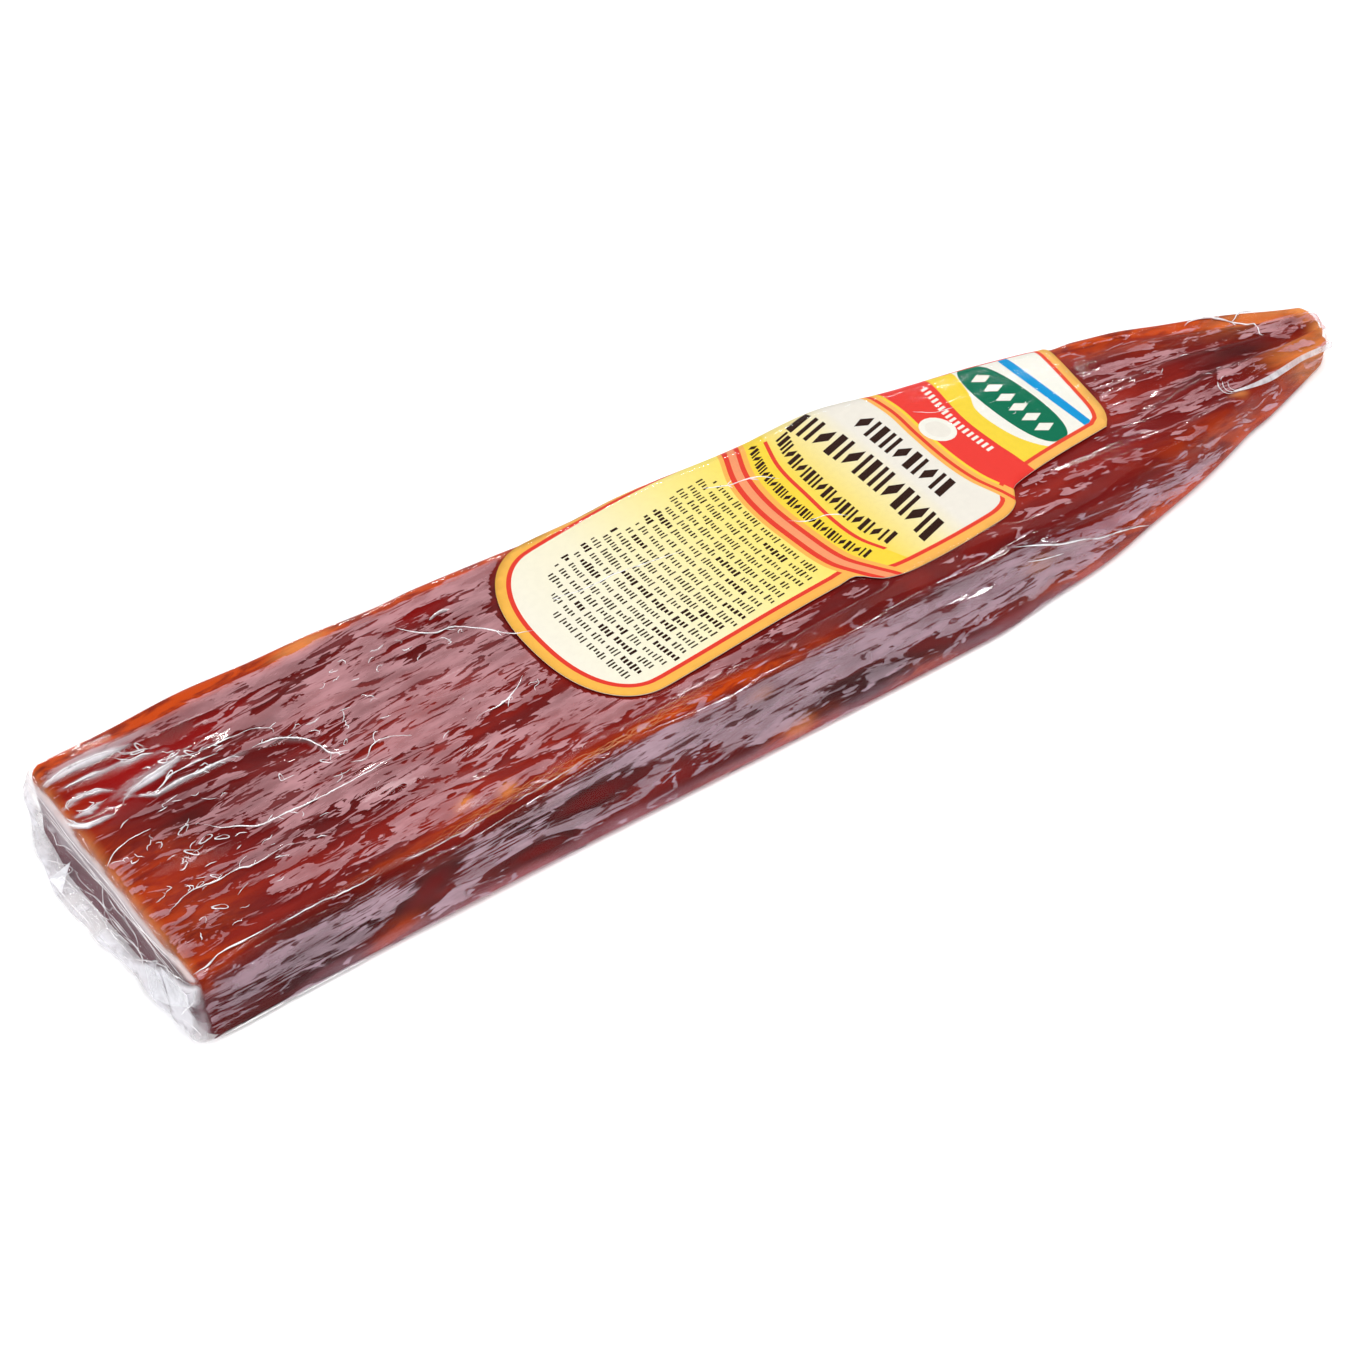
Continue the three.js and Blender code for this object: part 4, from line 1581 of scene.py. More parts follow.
    def _amber_edge(self, x: Array, y: Array, z: Array) -> Array:
        """Finds how amber the thin edges are, where light comes through the meat.

        Args:
            x: Places along the bar.
            y: Places across it.
            z: Heights.

        Returns:
            Numbers from 0 to 1.
        """
        size, width = self.shape.size, self.amber_width(x)
        near = size.near_top.at(x)
        on_top = fall(size.top_height.at(x) - z, 3, 6)
        strip = fall(size.far_top.at(x) - y, width * 0.8, width * 1.1) * on_top
        cut = fall(x, 1, 11) * 0.25 * on_top
        near_shoulder = np.exp(-((y - near - 0.5) / 1.8) ** 2) * on_top
        foot = rise(near - y, -0.8, 0.6) * fall(z - 5 * rise(x, 268, 286), 2.5, 6.5)
        foot = 0.66 * foot * rise(x, 208, 230)
        return strip * 0.9 + cut + foot + near_shoulder * 0.06 * fall(x, 120, 200)

    def _raw(self, x: Array, y: Array, z: Array) -> Array:
        """Finds where the meat is dull and brown: on the cut, and thinly along the far edge.

        Args:
            x: Places along the bar.
            y: Places across it.
            z: Heights.

        Returns:
            Numbers from 0 to 1.
        """
        cut = fall(x, 1.15, 1.9) * fall(z, 10, 12)
        edge = fall(self.shape.size.far_top.at(x) - y, 0.25, 0.9) * rise(z, 6, 9)
        return np.clip(cut + 0.8 * edge, 0, 1)

    def build(self) -> Object:
        """Makes the meat.

        Returns:
            The object.
        """
        shape, ring, inset = self.shape, self.ring, self.inset
        rings = []
        for drawn, cut_x in self.end_steps:
            inner = drawn_in(shape.section(cut_x, ring, inset), drawn)
            rings.insert(0, self._cut_face(inner, cut_x))
        for scale in self.end_scales:
            rings.insert(0, self._cut_face(drawn_in(inner, scale=scale), cut_x))
        length = shape.size.length
        last = length - self.tip_steps[0][1] - 0.3
        middle = np.arange(self.end_steps[0][1] + self.step, last, self.step)
        rings += list(shape.sections(middle, ring, inset)[0])
        for drawn, short in self.tip_steps:
            blunt = drawn_in(shape.section(length - short, ring, inset), drawn)
            rings.append(blunt)
        rings = np.array(rings + [drawn_in(blunt, scale=scale) for scale in self.tip_scales])
        points, faces = MeshMaker.skin_over(rings)
        x, y, z = points.T
        s = np.concatenate([shape.round_the_bar(rings, ring).ravel(), [0, 0]])
        rim = fall(x, 1.3, 3) * rise(y, -26, -23)
        obj = MeshMaker.build("fillet", points, faces, [MeatFinish().material()])
        MeshMaker.paint(
            obj,
            skin=np.stack([x, s, 0 * x], -1) * MM,
            amber=np.clip(self._amber_edge(x, y, z) + total(self.amber, x, s), 0, 1),
            fat=np.clip(total(self.fat, x, s) + 0.45 * rim * rise(z, 9.5, 11.5), 0, 1),
            tone=total(self.tone, x, s) - 0.1 * fall(x, 1.4, 2.6),
            raw=self._raw(x, y, z),
            vivid=np.clip(total(self.vivid, x, s), 0, 1),
        )
        return obj


@dataclass(frozen=True)
class Film:
    """The clear film shrunk onto the meat and the label."""

    shape: BarShape
    cut: CutEnd
    tip: TipEnd
    layout: LabelPrint
    ring: Ring = Ring()
    step: float = 0.76
    over_label: float = 0.3
    lowest: float = -0.18
    pleat_height: float = 0.34
    pleats: Ripple = Ripple(46, 1.9, 1, 21.4)
    ripples: tuple[Ripple, ...] = (
        Ripple(26, 5.5, 0.16, 3.1), Ripple(13, 2.6, 0.06, 7.7), Ripple(60, 11, 0.14, 9.3),
    )
    side_ripples: tuple[Ripple, ...] = (
        Ripple(34, 2.2, 0.1, 11.2), Ripple(18, 4.5, 0.14, 13.9),
    )
    gap: tuple[Patch, ...] = (
        Patch(12, 16, 15, 8, -0.42, 8), Patch(39, 3, 10, 5.5, -0.12, -10),
        Patch(58, 10, 26, 9, 0.07), Patch(52, -6, 26, 9, 0.03), Patch(12, -12, 15, 9, -0.13),
        Patch(80, 20, 8, 4, -0.14), Patch(30, -2, 12, 6, 0.04), Patch(70, 4, 18, 7, 0.06),
        Patch(84, -24, 22, 5, 0.02), Patch(104, -26, 16, 5, 0.16), Patch(90, -20, 9, 5, 0.1),
        Patch(86, 6, 3, 20, 0.08), Patch(30, -24, 26, 5, -0.03), Patch(205, -22, 30, 4.5, -0.08),
        Patch(225, -16, 20, 4, -0.06), Patch(83.5, -39, 10, 1.9, -0.5),
        Patch(68.5, -44.4, 7.5, 1.4, -0.5), Patch(46.5, -40.5, 6.5, 2.6, -0.5, 25),
        Patch(112, -47.3, 10, 1.4, -0.3), Patch(52, -44.8, 8, 1.3, 0.4, 24),
        Patch(67, -42, 9, 1, 0.4), Patch(80, -43.3, 7, 1.1, 0.35, -5),
        Patch(99, -40, 9.5, 1.2, 0.4, 28), Patch(100, -34.8, 60, 2.4, 0.08),
        Patch(22, -36, 24, 2.4, 0.16), Patch(120, -37, 60, 4.5, 0.1), Patch(175, -37, 36, 5, 0.12),
        Patch(262, 0, 18, 8, -0.1), Patch(286, -2, 16, 14, -0.12),
    )
    # stretched folds on top, whose crests carry painted highlights
    streaks: tuple[Streak, ...] = (
        Streak(((11.4, 18), (14.4, 19.4), (17.3, 19.5), (20, 19.8), (25.7, 21.4)), 0.85, 0.55, 1),
        Streak(((9.4, 19.4), (14.4, 21), (20, 21.4), (26.7, 23)), 1.1, 0.2, 0.3),
        Streak(((13, 18), (16.6, 15.1), (21.3, 15.4), (25.6, 15), (35, 14.8)), 0.5, 0.4, 0.5),
        Streak(((0.8, 29.4), (7, 29.8), (13, 29.6), (19, 29.2)), 0.8, 0.4, 1),
        Streak(((2.8, 31), (9, 31.4), (17, 31), (24, 31)), 1, 0.1, 0.3),
        Streak(((0, 21.3), (1.5, 17.3), (3.1, 15.3), (5, 15.2), (8.4, 15.6)), 0.7, 0.4, 1),
        Streak(((1.5, 22.3), (5.7, 23.6), (9, 23.2), (11.5, 21.6)), 0.55, 0.45, 0.8),
        Streak(((2, 19.4), (5.1, 18.9), (8, 20.2)), 0.55, 0.4, 0.9),
        Streak(((3, 26.8), (7.8, 26.7), (13, 26.4), (17.4, 26), (24, 25.2)), 0.5, 0.4, 0.5),
        Streak(((34, 14.6), (41.3, 13.8), (45.4, 10.4), (46.9, 4.3), (51, 3)), 0.6, 0.3, 0.1),
    )

    def _over_label(self, x: Array, s: Array) -> Array:
        """Finds where the label is under the film.

        Args:
            x: Places along the bar.
            s: Places round it.

        Returns:
            1 over the label, falling to 0 beside it.
        """
        share = np.zeros(x.shape)
        close = (x > 86) & (x < 236) & (s > -30) & (s < 33)
        share[close] = rise(self.layout.depth(np.stack([x[close], s[close]], -1)), -1.5, 0.1)
        return share

    def _white_film_and_highlights(self, x: Array, y: Array, z: Array) -> Array:
        """Finds how white the film is: gathered at the cut end, and painted highlights along the
        folds on top.

        Args:
            x: Places along the bar.
            y: Places across it.
            z: Heights.

        Returns:
            Numbers from 0 to 1.
        """
        # painted highlights on the crests of the folds on top
        streaks = sum(streak.white * streak.at(x, y) for streak in self.streaks)
        on_cut = fall(x, 0.9, 1.5) * self.cut.whiteness(y, z)
        on_top = rise(z, 11, 13) * rise(x, 0.5, 2) * streaks
        return np.clip(on_cut + on_top + 0.01 * rise(x, 294, 297), 0, 1)

    def _gap(self, points: Array, s: Array, over: Array) -> Array:
        """Finds how readily the film stands off the meat.

        Args:
            points: Points of the film.
            s: Their places round the bar.
            over: 1 over the label and 0 beside it.

        Returns:
            Plus where it stands off and minus where it clings.
        """
        size, (x, y, z) = self.shape.size, points.T
        near, top = size.near_top.at(x), size.top_height.at(x)
        from_far, width = size.far_top.at(x) - y, Fillet.amber_width(x)
        on_top = rise(z, top - 6, top - 3)
        bare = np.exp(-((y - near - 1) / 2.2) ** 2) * on_top
        strip = fall(from_far, width * 0.8, width * 0.92) * on_top
        band = np.exp(-(((from_far - width - 1.3) / 1.7) ** 4)) * on_top * fall(x, 95, 110)
        gap = total(self.gap, x, s)
        gap = gap - 0.2 * bare - 0.5 * strip + 0.35 * band * (0.35 + 0.65 * rise(x, 16, 32))
        gap = gap - 2 * rise(over, 0.4, 0.9)
        near_side = rise(near + 1 - y, 0, 2)
        gap = gap - 0.5 * fall(z, 0.5, 2.5) * (1 - near_side) - fall(x, 1, 1.6)
        on_taper = rise(x, TAPER_STARTS, TAPER_FULL)
        gap = gap - (0.2 + 0.25 * on_taper) * (near_side * fall(z, 2.4, 4.6))
        gap = gap - 0.16 * near_side * rise(x, 270, 284)
        return gap + (0.3 * self.pleats.at(x, s) - 0.03) * on_taper

    def _span(self) -> tuple[float, float]:
        """Stations where the closing of the cut end stops and that of the tip begins."""
        return float(self.cut.station.at(0)), self.shape.size.length - self.tip.steps[0][1]

    def _lift(self, x: Array, s: Array, points: Array, over: Array) -> Array:
        """Finds how far the film between its ends stands out from the plain bar.

        Args:
            x: Stations along the bar, one to a row.
            s: Places round it.
            points: Points of the bar.
            over: 1 over the label and 0 beside it.

        Returns:
            Distances in millimetres.
        """
        y, z, top = points[..., 1], points[..., 2], self.shape.size.top_height.at(x)
        first, last = self._span()
        on_top = rise(z, top - 3, top - 1)
        ripple = total(self.ripples, x, s) * on_top
        ripple += total(self.side_ripples, x, s) * (1 - on_top)
        ripple += self.pleat_height * rise(x, TAPER_STARTS, TAPER_FULL) * self.pleats.at(x, s)
        free = rise(z, 0.6, 3.5) * (1 - 0.8 * over)
        ends = rise(x, first, first + 6) * fall(x, last - 6, last)
        ridge = sum(streak.height * streak.at(x, y) for streak in self.streaks) * on_top
        return self.over_label * over + np.maximum(ripple * free * ends, self.lowest) + ridge

    def build(self) -> Object:
        """Makes the film.

        Returns:
            The object.
        """
        shape, ring = self.shape, self.ring
        cut_rings, tip_rings = self.cut.rings(shape, ring), self.tip.rings(shape, ring)
        first, last = self._span()
        stations = np.linspace(first, last, round((last - first) / self.step) + 1)[1:-1]
        middle, outward = shape.sections(stations, ring)
        s = shape.round_the_bar(middle, ring)
        x = np.broadcast_to(stations[:, None], s.shape)
        over = self._over_label(x, s)
        middle = middle + self._lift(x, s, middle, over)[..., None] * outward
        rings = np.concatenate([cut_rings, middle, tip_rings])
        points, faces = MeshMaker.skin_over(rings)
        x, y, z = points.T
        s = np.concatenate([shape.round_the_bar(rings, ring).ravel(), [0, 0]])
        over = np.pad(over.ravel(), (cut_rings[..., 0].size, tip_rings[..., 0].size + 2))
        size = shape.size
        top = size.top_height.at(x)
        near_side = rise(size.near_top.at(x) + 1 - y, 0, 2)
        on_taper = rise(x, TAPER_STARTS, TAPER_FULL)
        fine = near_side * rise(z, top * 0.4, top * 0.65) * rise(x, 14, 40)
        # an even haze along the foot of the near side, partly painted reflection of the floor
        veil = 0.42 * (near_side * fall(z, 2.4, 4.6)) * rise(x, 14, 30) * (1 - 0.6 * on_taper)
        beside_label = near_side * rise(x, 90, 110) * fall(x, 190, 215)
        cloud = self._white_film_and_highlights(*np.moveaxis(rings, -1, 0))
        obj = MeshMaker.build("film", points, faces, [FilmFinish().material()])
        MeshMaker.paint(
            obj,
            skin=np.stack([x, s, 0 * x], -1) * MM,
            gap=self._gap(points, s, over),
            fine=np.maximum(fine, 0.6 * near_side * fall(x, 26, 40)),
            cool=near_side,
            veil=np.clip(veil, 0, 1),
            milk=(0.74 + 0.26 * rise(x, 16, 40)) * (1 - 0.16 * beside_label),
            gloss=(1 - 0.45 * over) * (1 - 0.5 * on_taper) * (1 - 0.6 * rise(x, 292, 296)),
            cloud=np.concatenate([cloud.ravel(), [0.1, 0.05]]),
        )
        return obj


@dataclass(frozen=True)
class Crease:
    """A crease line in the film, through points of the bar's frame or places on its top."""

    points: tuple[tuple[float, ...], ...]
    radius: float = 0.16
    wander: float = 0.25


class PieceTree(Wiring):
    """A Geometry Nodes tree that turns the paths or points of an object into a piece."""

    def __init__(self, name: str, **sizes: float) -> None:
        """Makes the tree, with a named input for each size.

        Args:
            name: Its name.
            **sizes: Values of the inputs, whole for a whole number.
        """
        super().__init__(bpy.data.node_groups.new(name, "GeometryNodeTree"))
        add_socket = self.tree.interface.new_socket
        for way in ("INPUT", "OUTPUT"):
            add_socket("Geometry", in_out=way, socket_type="NodeSocketGeometry")
        self.values = {}
        for size, value in sizes.items():
            kind = "NodeSocketInt" if isinstance(value, int) else "NodeSocketFloat"
            made = add_socket(size, in_out="INPUT", socket_type=kind)
            self.values[made.identifier] = value
        self.given = self.node("NodeGroupInput").outputs

    def grow(self, obj: Object, name: str, shapes: Socket, material: Material) -> Object:
        """Ends the tree and turns an object into a plain mesh by it.

        Args:
            obj: The object with the paths or points.
            name: Name of the piece.
            shapes: What the tree makes, before it has its finish.
            material: The finish.

        Returns:
            The same object with the plain mesh.
        """
        realized = self.add("GeometryNodeRealizeInstances", {"Geometry": shapes})
        dressed = self.add("GeometryNodeSetMaterial", {"Geometry": realized, "Material": material})
        self.node("NodeGroupOutput", {"Geometry": dressed})
        modifier = obj.modifiers.new(name, "NODES")
        modifier.node_group = self.tree
        for identifier, value in self.values.items():
            modifier[identifier] = value
        evaluated = obj.evaluated_get(bpy.context.evaluated_depsgraph_get())
        mesh = bpy.data.meshes.new_from_object(evaluated)
        obj.modifiers.remove(modifier)
        obj.data = mesh
        obj.name = mesh.name = name
        LOG.info("%s: %d faces", name, len(mesh.polygons))
        return obj


@dataclass
class Creases:
    """White crease lines that lie on the film, partly painted highlights, made by a node tree from
    their paths.
    """

    film: Object
    finish: CreaseFinish
    glint_finish: CreaseFinish
    seed: int = 5
    spacing: float = 0.45
    over_top: float = 16.0
    lines: tuple[Crease, ...] = (
        Crease(((4.9, -11.2, 14.9), (8.6, -9.6, 14.9), (11.8, -9.1, 14.9), (15.4, -9.6, 15),
            (19.8, -9.4, 15.2), (21.5, -10.4, 15.4), (29.1, -9.8, 15.8)), 0.17),
        Crease(((19.8, -9.4, 15.2), (20.6, -8, 15.2), (22.4, -7.4, 15.3)), 0.12),
        Crease(((19.8, 3.4, 15.5), (21.5, 1.1, 15.5), (25.1, -1.2, 15.5), (27.6, -2.8, 15.5),
            (31.5, -3, 15.7), (35.7, -3.5, 16.1), (45.3, -4.3, 17.2), (54.8, -3.6, 17.6)), 0.18),
        Crease(((36.3, 14.8, 16), (38.3, 14.8, 16.1), (41.3, 13.8, 16.2), (44.8, 11.2, 16.2),
            (46.1, 8.2, 16.3), (46.9, 4.3, 16.8), (49.8, 3.1, 17)), 0.18),
        Crease(((24, 21.8, 14.7), (27.2, 20.2, 15.4), (30.5, 19.8, 15.6), (34.9, 19.4, 16),
            (38.6, 18.8, 16.3), (41.5, 16.8, 16.4), (41.3, 15.5, 16.4)), 0.13),
        Crease(((14.3, 17.2, 14.6), (16.6, 15.1, 15), (18.5, 15.2, 15.1), (21.3, 15.4, 15.3),
            (25.6, 15, 15.7), (33, 15, 16)), 0.26, 0.2),
        Crease(((16.7, 15.9, 15), (18.8, 16.7, 15.1), (21.1, 17.8, 15.2), (24.1, 17.8, 15.5),
            (27, 17.7, 15.7), (30.5, 17.2, 15.8)), 0.2, 0.1),
        Crease(((4.4, 26.8, 14.4), (7.8, 26.7, 14.5), (11.1, 26.6, 14.5)), 0.15, 0.3),
        Crease(((2.5, 21.4, 14.1), (2.6, 22.9, 14), (5.7, 23.5, 13.9), (9.3, 22.9, 14),
            (9.9, 22.1, 14)), 0.13, 0.6),
        Crease(((3.4, 20.3, 14.2), (5.1, 19.6, 14.1), (7, 20.6, 14), (6.4, 21.6, 14)), 0.13, 0.6),
        Crease(((15, 28, 14.9), (16.1, 26.9, 14.7), (17.4, 26.1, 14.5), (19.1, 26.2, 14.6),
            (21.7, 25.6, 14.5)), 0.15, 0.4),
        Crease(((0.6, 19.8, 13.6), (1.5, 17.3, 14.3), (3.1, 15.3, 14.9), (5, 15.2, 14.9),
            (6.8, 15.2, 14.8)), 0.3, 0.1),
        Crease(((0.5, -29.9, 0.8), (10, -29.8, 0.8), (20, -29.7, 0.7), (34, -29.5, 0.7)), 0.2,
            0.05),
        Crease(((1.4, -25.7, 13.7), (4.4, -25.6, 14.1), (6.9, -24.5, 14.4), (12.4, -24.6, 14.6),
            (18.2, -24.5, 15)), 0.19, 0.1),
        Crease(((18.8, -24.9, 15), (26.8, -24.9, 15.4), (32.8, -25.4, 15.5), (38.1, -25.8, 16.2)),
            0.1, 0.3),
        Crease(((43.1, -26, 16.6), (53.7, -26.4, 17.1), (60.7, -26.2, 17.6)), 0.07, 0.4),
        Crease(((66, -26.4, 18), (75, -25.9, 18.4), (84, -25.2, 19)), 0.07, 0.4),
        Crease(((1.2, 4.9, 14.4), (4.4, 7.1, 15), (8.7, 8, 15.2), (11.7, 8, 15.3)), 0.12),
        Crease(((73.1, 24.5, 18.8), (75.6, 20.6, 19.1), (78.9, 18.2, 19.3), (81.4, 18, 19.5),
            (85.4, 14.4, 19.8), (89.6, 8.9, 20), (92.7, 7.2, 20.2)), 0.16),
        Crease(((71.9, -5.1, 19), (73, -4.7, 19.1), (77.3, -4.8, 19.3), (81.5, -3.5, 19.6),
            (84.6, -1.3, 19.8)), 0.15),
        Crease(((48.3, 0.3, 17), (51.1, -0.7, 17.2), (53.5, 1.2, 17.3), (56.2, 1.5, 17.6),
            (60.5, -1.2, 18.1)), 0.15),
        Crease(((100.5, 12.4, 20.6), (106.9, 11, 20.6), (114.1, 11.1, 20.8), (119.3, 10.5, 20.8),
            (128, 9, 20.8)), 0.13),
        Crease(((142.1, 22.4, 20.8), (147.5, 19.9, 20.8), (153.2, 18.9, 20.9), (156.6, 15.6, 20.9)),
            0.13),
        Crease(((150, 4.4, 20.9), (153, 2, 20.9), (158, 1, 20.9), (161, -1.6, 20.9)), 0.12),
        Crease(((192, 18, 19), (195.5, 15.6, 19.4), (200, 15, 19.2)), 0.12),
        Crease(((184, -23.2, 16.8), (190.4, -24.2, 14.9), (194.7, -24.4, 13.5), (201, -24.9, 11.4),
            (206.7, -24.2, 8.7), (211.8, -24, 7.4), (217.7, -22.8, 4.9), (224, -21.2, 1.6)), 0.22,
            0.1),
        Crease(((187, -24.9, 12.6), (190.7, -25, 11.4), (196.8, -25, 9.8)), 0.12, 0.1),
        Crease(((265.5, 15.9, 11.6), (267.2, 16.3, 11.7), (270.2, 16, 11.4), (273.9, 14.2, 10.9),
            (276.5, 12.5, 10), (278.9, 10.9, 9.4), (279.3, 7.3, 9.8), (278.2, 4.6, 10.6)), 0.26,
            0.1),
        Crease(((276.5, 12.5, 10), (279.1, 13.6, 9.9), (283.4, 13.4, 9.2)), 0.16, 0.1),
        Crease(((256, -4.2, 13.2), (255.6, -5.4, 12.9), (256.1, -6.7, 12.2), (257.5, -7.8, 12.2)),
            0.14, 0.05),
        Crease(((257.4, -4.6, 13), (256.9, -5.6, 12.8), (257.3, -6.7, 12.2), (258.6, -7.8, 12)),
            0.12, 0.05),
        Crease(((258.8, -5, 12.8), (258.3, -5.9, 12.5), (258.7, -6.9, 12.2), (260, -7.9, 11.9)),
            0.1, 0.05),
    )
    cut_lines: tuple[Crease, ...] = (
        Crease(((-2.3, 20, 2.7), (-2, 13, 3.4), (-1.5, 6.4, 3.8), (-1.7, 0, 3.2),
            (-1.4, -7.5, 3.2)), 0.14, 0.2),
        Crease(((-3.3, 16.5, 1.4), (-3.4, 7.5, 1.9), (-2.6, -0.9, 1.6), (-1.6, -8, 2.2)), 0.1, 0.1),
        Crease(((0.1, 20.2, 6.9), (0.2, 9, 7.4), (-0.2, -2.1, 10.3), (0, -12.3, 12.6),
            (0.8, -23.6, 13.5)), 0.11, 0.3),
        Crease(((-2.3, 24.6, 1.6), (-0.7, 17.1, 4.8), (-3.3, 18.3, 1.8)), 0.1, 0.05),
        Crease(((-0.3, 7.6, 12), (0, 6.7, 5.5), (-0.9, 2.2, 4.3), (-0.9, -1.8, 4.2)), 0.1, 0.1),
        Crease(((-1.4, -7.5, 3.2), (0.3, -14.6, 7.8), (0.5, -20.5, 10.4), (0.7, -26.5, 12.7)), 0.16,
            0.1),
        Crease(((-0.4, -20.2, 5.2), (0, -23.5, 8.4), (0.4, -26.8, 11.8)), 0.15, 0.1),
        Crease(((1.1, -26.8, 12.8), (0.2, -27, 9.3), (-0.8, -24.5, 4.4)), 0.14, 0.1),
        Crease(((-0.9, -11.9, 4), (-1.2, -15.3, 3.7)), 0.12, 0.05),
        Crease(((-1, -24.8, 3.8), (-0.4, -27.6, 3.9), (-0.2, -28.9, 2.7)), 0.12, 0.05),
        Crease(((-2.6, 10.9, 2.8), (-2.9, 2.3, 1.9), (-2.4, -5, 1.2)), 0.09, 0.05),
        Crease(((-2.4, -0.9, 1.5), (-1.5, -9.7, 3.1)), 0.12, 0.05),
        Crease(((-0.9, -1.8, 4.2), (-0.2, -10, 5.4)), 0.09, 0.1),
        Crease(((-2.9, 11.5, 2.4), (-2.3, 13.5, 3.2), (-3.4, 17, 1.2)), 0.09, 0.05),
        Crease(((0, -16, 7.6), (-0.6, -18, 4.6), (-1.2, -17, 2.6)), 0.1, 0.05),
    )
    # gleams: broad flat white ribbons that are painted highlights on the film near the cut end
    gleams: tuple[Crease, ...] = (
        Crease(((0.8, 29.3), (4, 29.7), (8, 29.9), (12, 29.7), (16.5, 29)), 0.62, 0.1),
        Crease(((11, 17.4), (13.5, 19), (16.5, 19.6), (19.5, 19.8), (23, 20.6), (25.5, 21.6)), 0.8,
            0.1),
        Crease(((0.5, 20.6), (1.4, 17.9), (2.8, 15.8), (5.2, 15.1), (8.6, 15.5)), 0.5, 0.1),
        Crease(((2.2, 21.6), (2.4, 22.8), (5.7, 23.6), (9, 23.2), (11.2, 21.8)), 0.34, 0.2),
        Crease(((3.2, 20.2), (5.1, 19.3), (7.4, 19.9), (9.4, 20.6)), 0.38, 0.2),
        Crease(((4, 26.8), (7.8, 26.8), (12.5, 26.5)), 0.22, 0.2),
        Crease(((13.6, 16.9), (16.6, 15.2), (21.3, 15.5), (26.6, 15.1)), 0.3, 0.2),
        Crease(((16, 28.4), (17.6, 27.2), (21.4, 26.4)), 0.3, 0.3),
        Crease(((44, -1), (46, -1.6), (48, -1.2)), 0.25, 0.3),
        Crease(((79.5, 22.4), (82, 22.9), (84, 22.4)), 0.5, 0.2),
        Crease(((66, 22), (67.5, 21.4), (69, 21.8)), 0.4, 0.2),
        Crease(((47, 13.6), (48.6, 13.2), (50, 13.6)), 0.4, 0.2),
    )
    glint_line: tuple[Point, ...] = (
        (47, -25.4, 16.6), (59.5, -25.3, 17.1), (72.5, -25.1, 17.7), (86, -24.3, 17.6),
        (99.4, -24.1, 18.5), (112, -24.2, 18.4),
    )
    curls: tuple[tuple[float, float, float, int], ...] = (
        (9, 4, 3, 7), (13, -2, 2.5, 6), (7, -8, 2.5, 4), (10, -19, 2.5, 4), (22, 24, 3, 6),
        (30, 19, 4, 4), (62, 20, 5, 7), (78, 19, 4, 4), (50, 8, 6, 5), (84, -4, 4, 3),
    )
    strewn: tuple[tuple[float, float, float, float, int], ...] = (
        (7, 30, -16, 13, 24), (34, 84, -14, 20, 14), (205, 262, -8, 8, 8),
    )

    def __post_init__(self) -> None:
        """Makes the finder of the film's surface and the source of random numbers."""
        mesh = self.film.data
        vertices = [v.co for v in mesh.vertices]
        self.surface = BVHTree.FromPolygons(vertices, [tuple(p.vertices) for p in mesh.polygons])
        self.random = np.random.default_rng(self.seed)

    def _small(self) -> list[Crease]:
        """Short creases and nicks that are strewn over the top and the taper."""
        pick, found = self.random, []
        for low, high, near, far, count in self.strewn:
            for _ in range(count):
                x, y = pick.uniform(low, high), pick.uniform(near, far)
                turn, length = pick.normal(0.1, 0.45), pick.uniform(0.8, 3.2)
                dx, dy = math.cos(turn) * length, math.sin(turn) * length
                bow = pick.normal(0, 0.3)
                middle = x + dx / 2 - bow * dy / length, y + dy / 2 + bow * dx / length, 15
                ends = (x, y, 15), (x + dx, y + dy, 15)
                found.append(Crease((ends[0], middle, ends[1]), pick.uniform(0.06, 0.11), 0.12))
        return found

    def _curled(self) -> list[Crease]:
        """Tiny curled creases in clusters near the cut and the label."""
        pick, found = self.random, []
        for x, y, spread, count in self.curls:
            for _ in range(count):
                place = np.array([x + pick.normal(0, spread), y + pick.normal(0, spread * 0.6), 15])
                turn = pick.uniform(-0.6, 0.8)
                points = [tuple(place)]
                for _ in range(int(pick.integers(4, 8))):
                    turn += pick.normal(0, 0.85)
                    place = place + np.array([math.cos(turn) * 0.55, math.sin(turn) * 0.4, 0])
                    points.append(tuple(place))
                found.append(Crease(tuple(points), pick.uniform(0.08, 0.13), 0.05))
        return found

    def _barbs(self) -> list[Crease]:
        """Short side branches of the long creases on top."""
        pick, found = self.random, []
        for crease in self.lines:
            knots = np.array(crease.points, float)
            if np.linalg.norm(knots[-1] - knots[0]) < 14 or knots[0, 1] < -20:
                continue
            for _ in range(4):
                k = int(pick.integers(0, len(knots) - 1))
                line = knots[k + 1] - knots[k]
                root = knots[k] + line * pick.uniform(0, 1)
                side = pick.choice([-1, 1])
                turn = math.atan2(line[1], line[0]) + side * pick.uniform(0.5, 0.9)
                way = np.array([math.cos(turn), math.sin(turn), 0]) * pick.uniform(0.9, 2)
                found.append(Crease(tuple(tuple(root + way * t) for t in (0, 0.5, 1)), 0.1, 0.15))
        return found

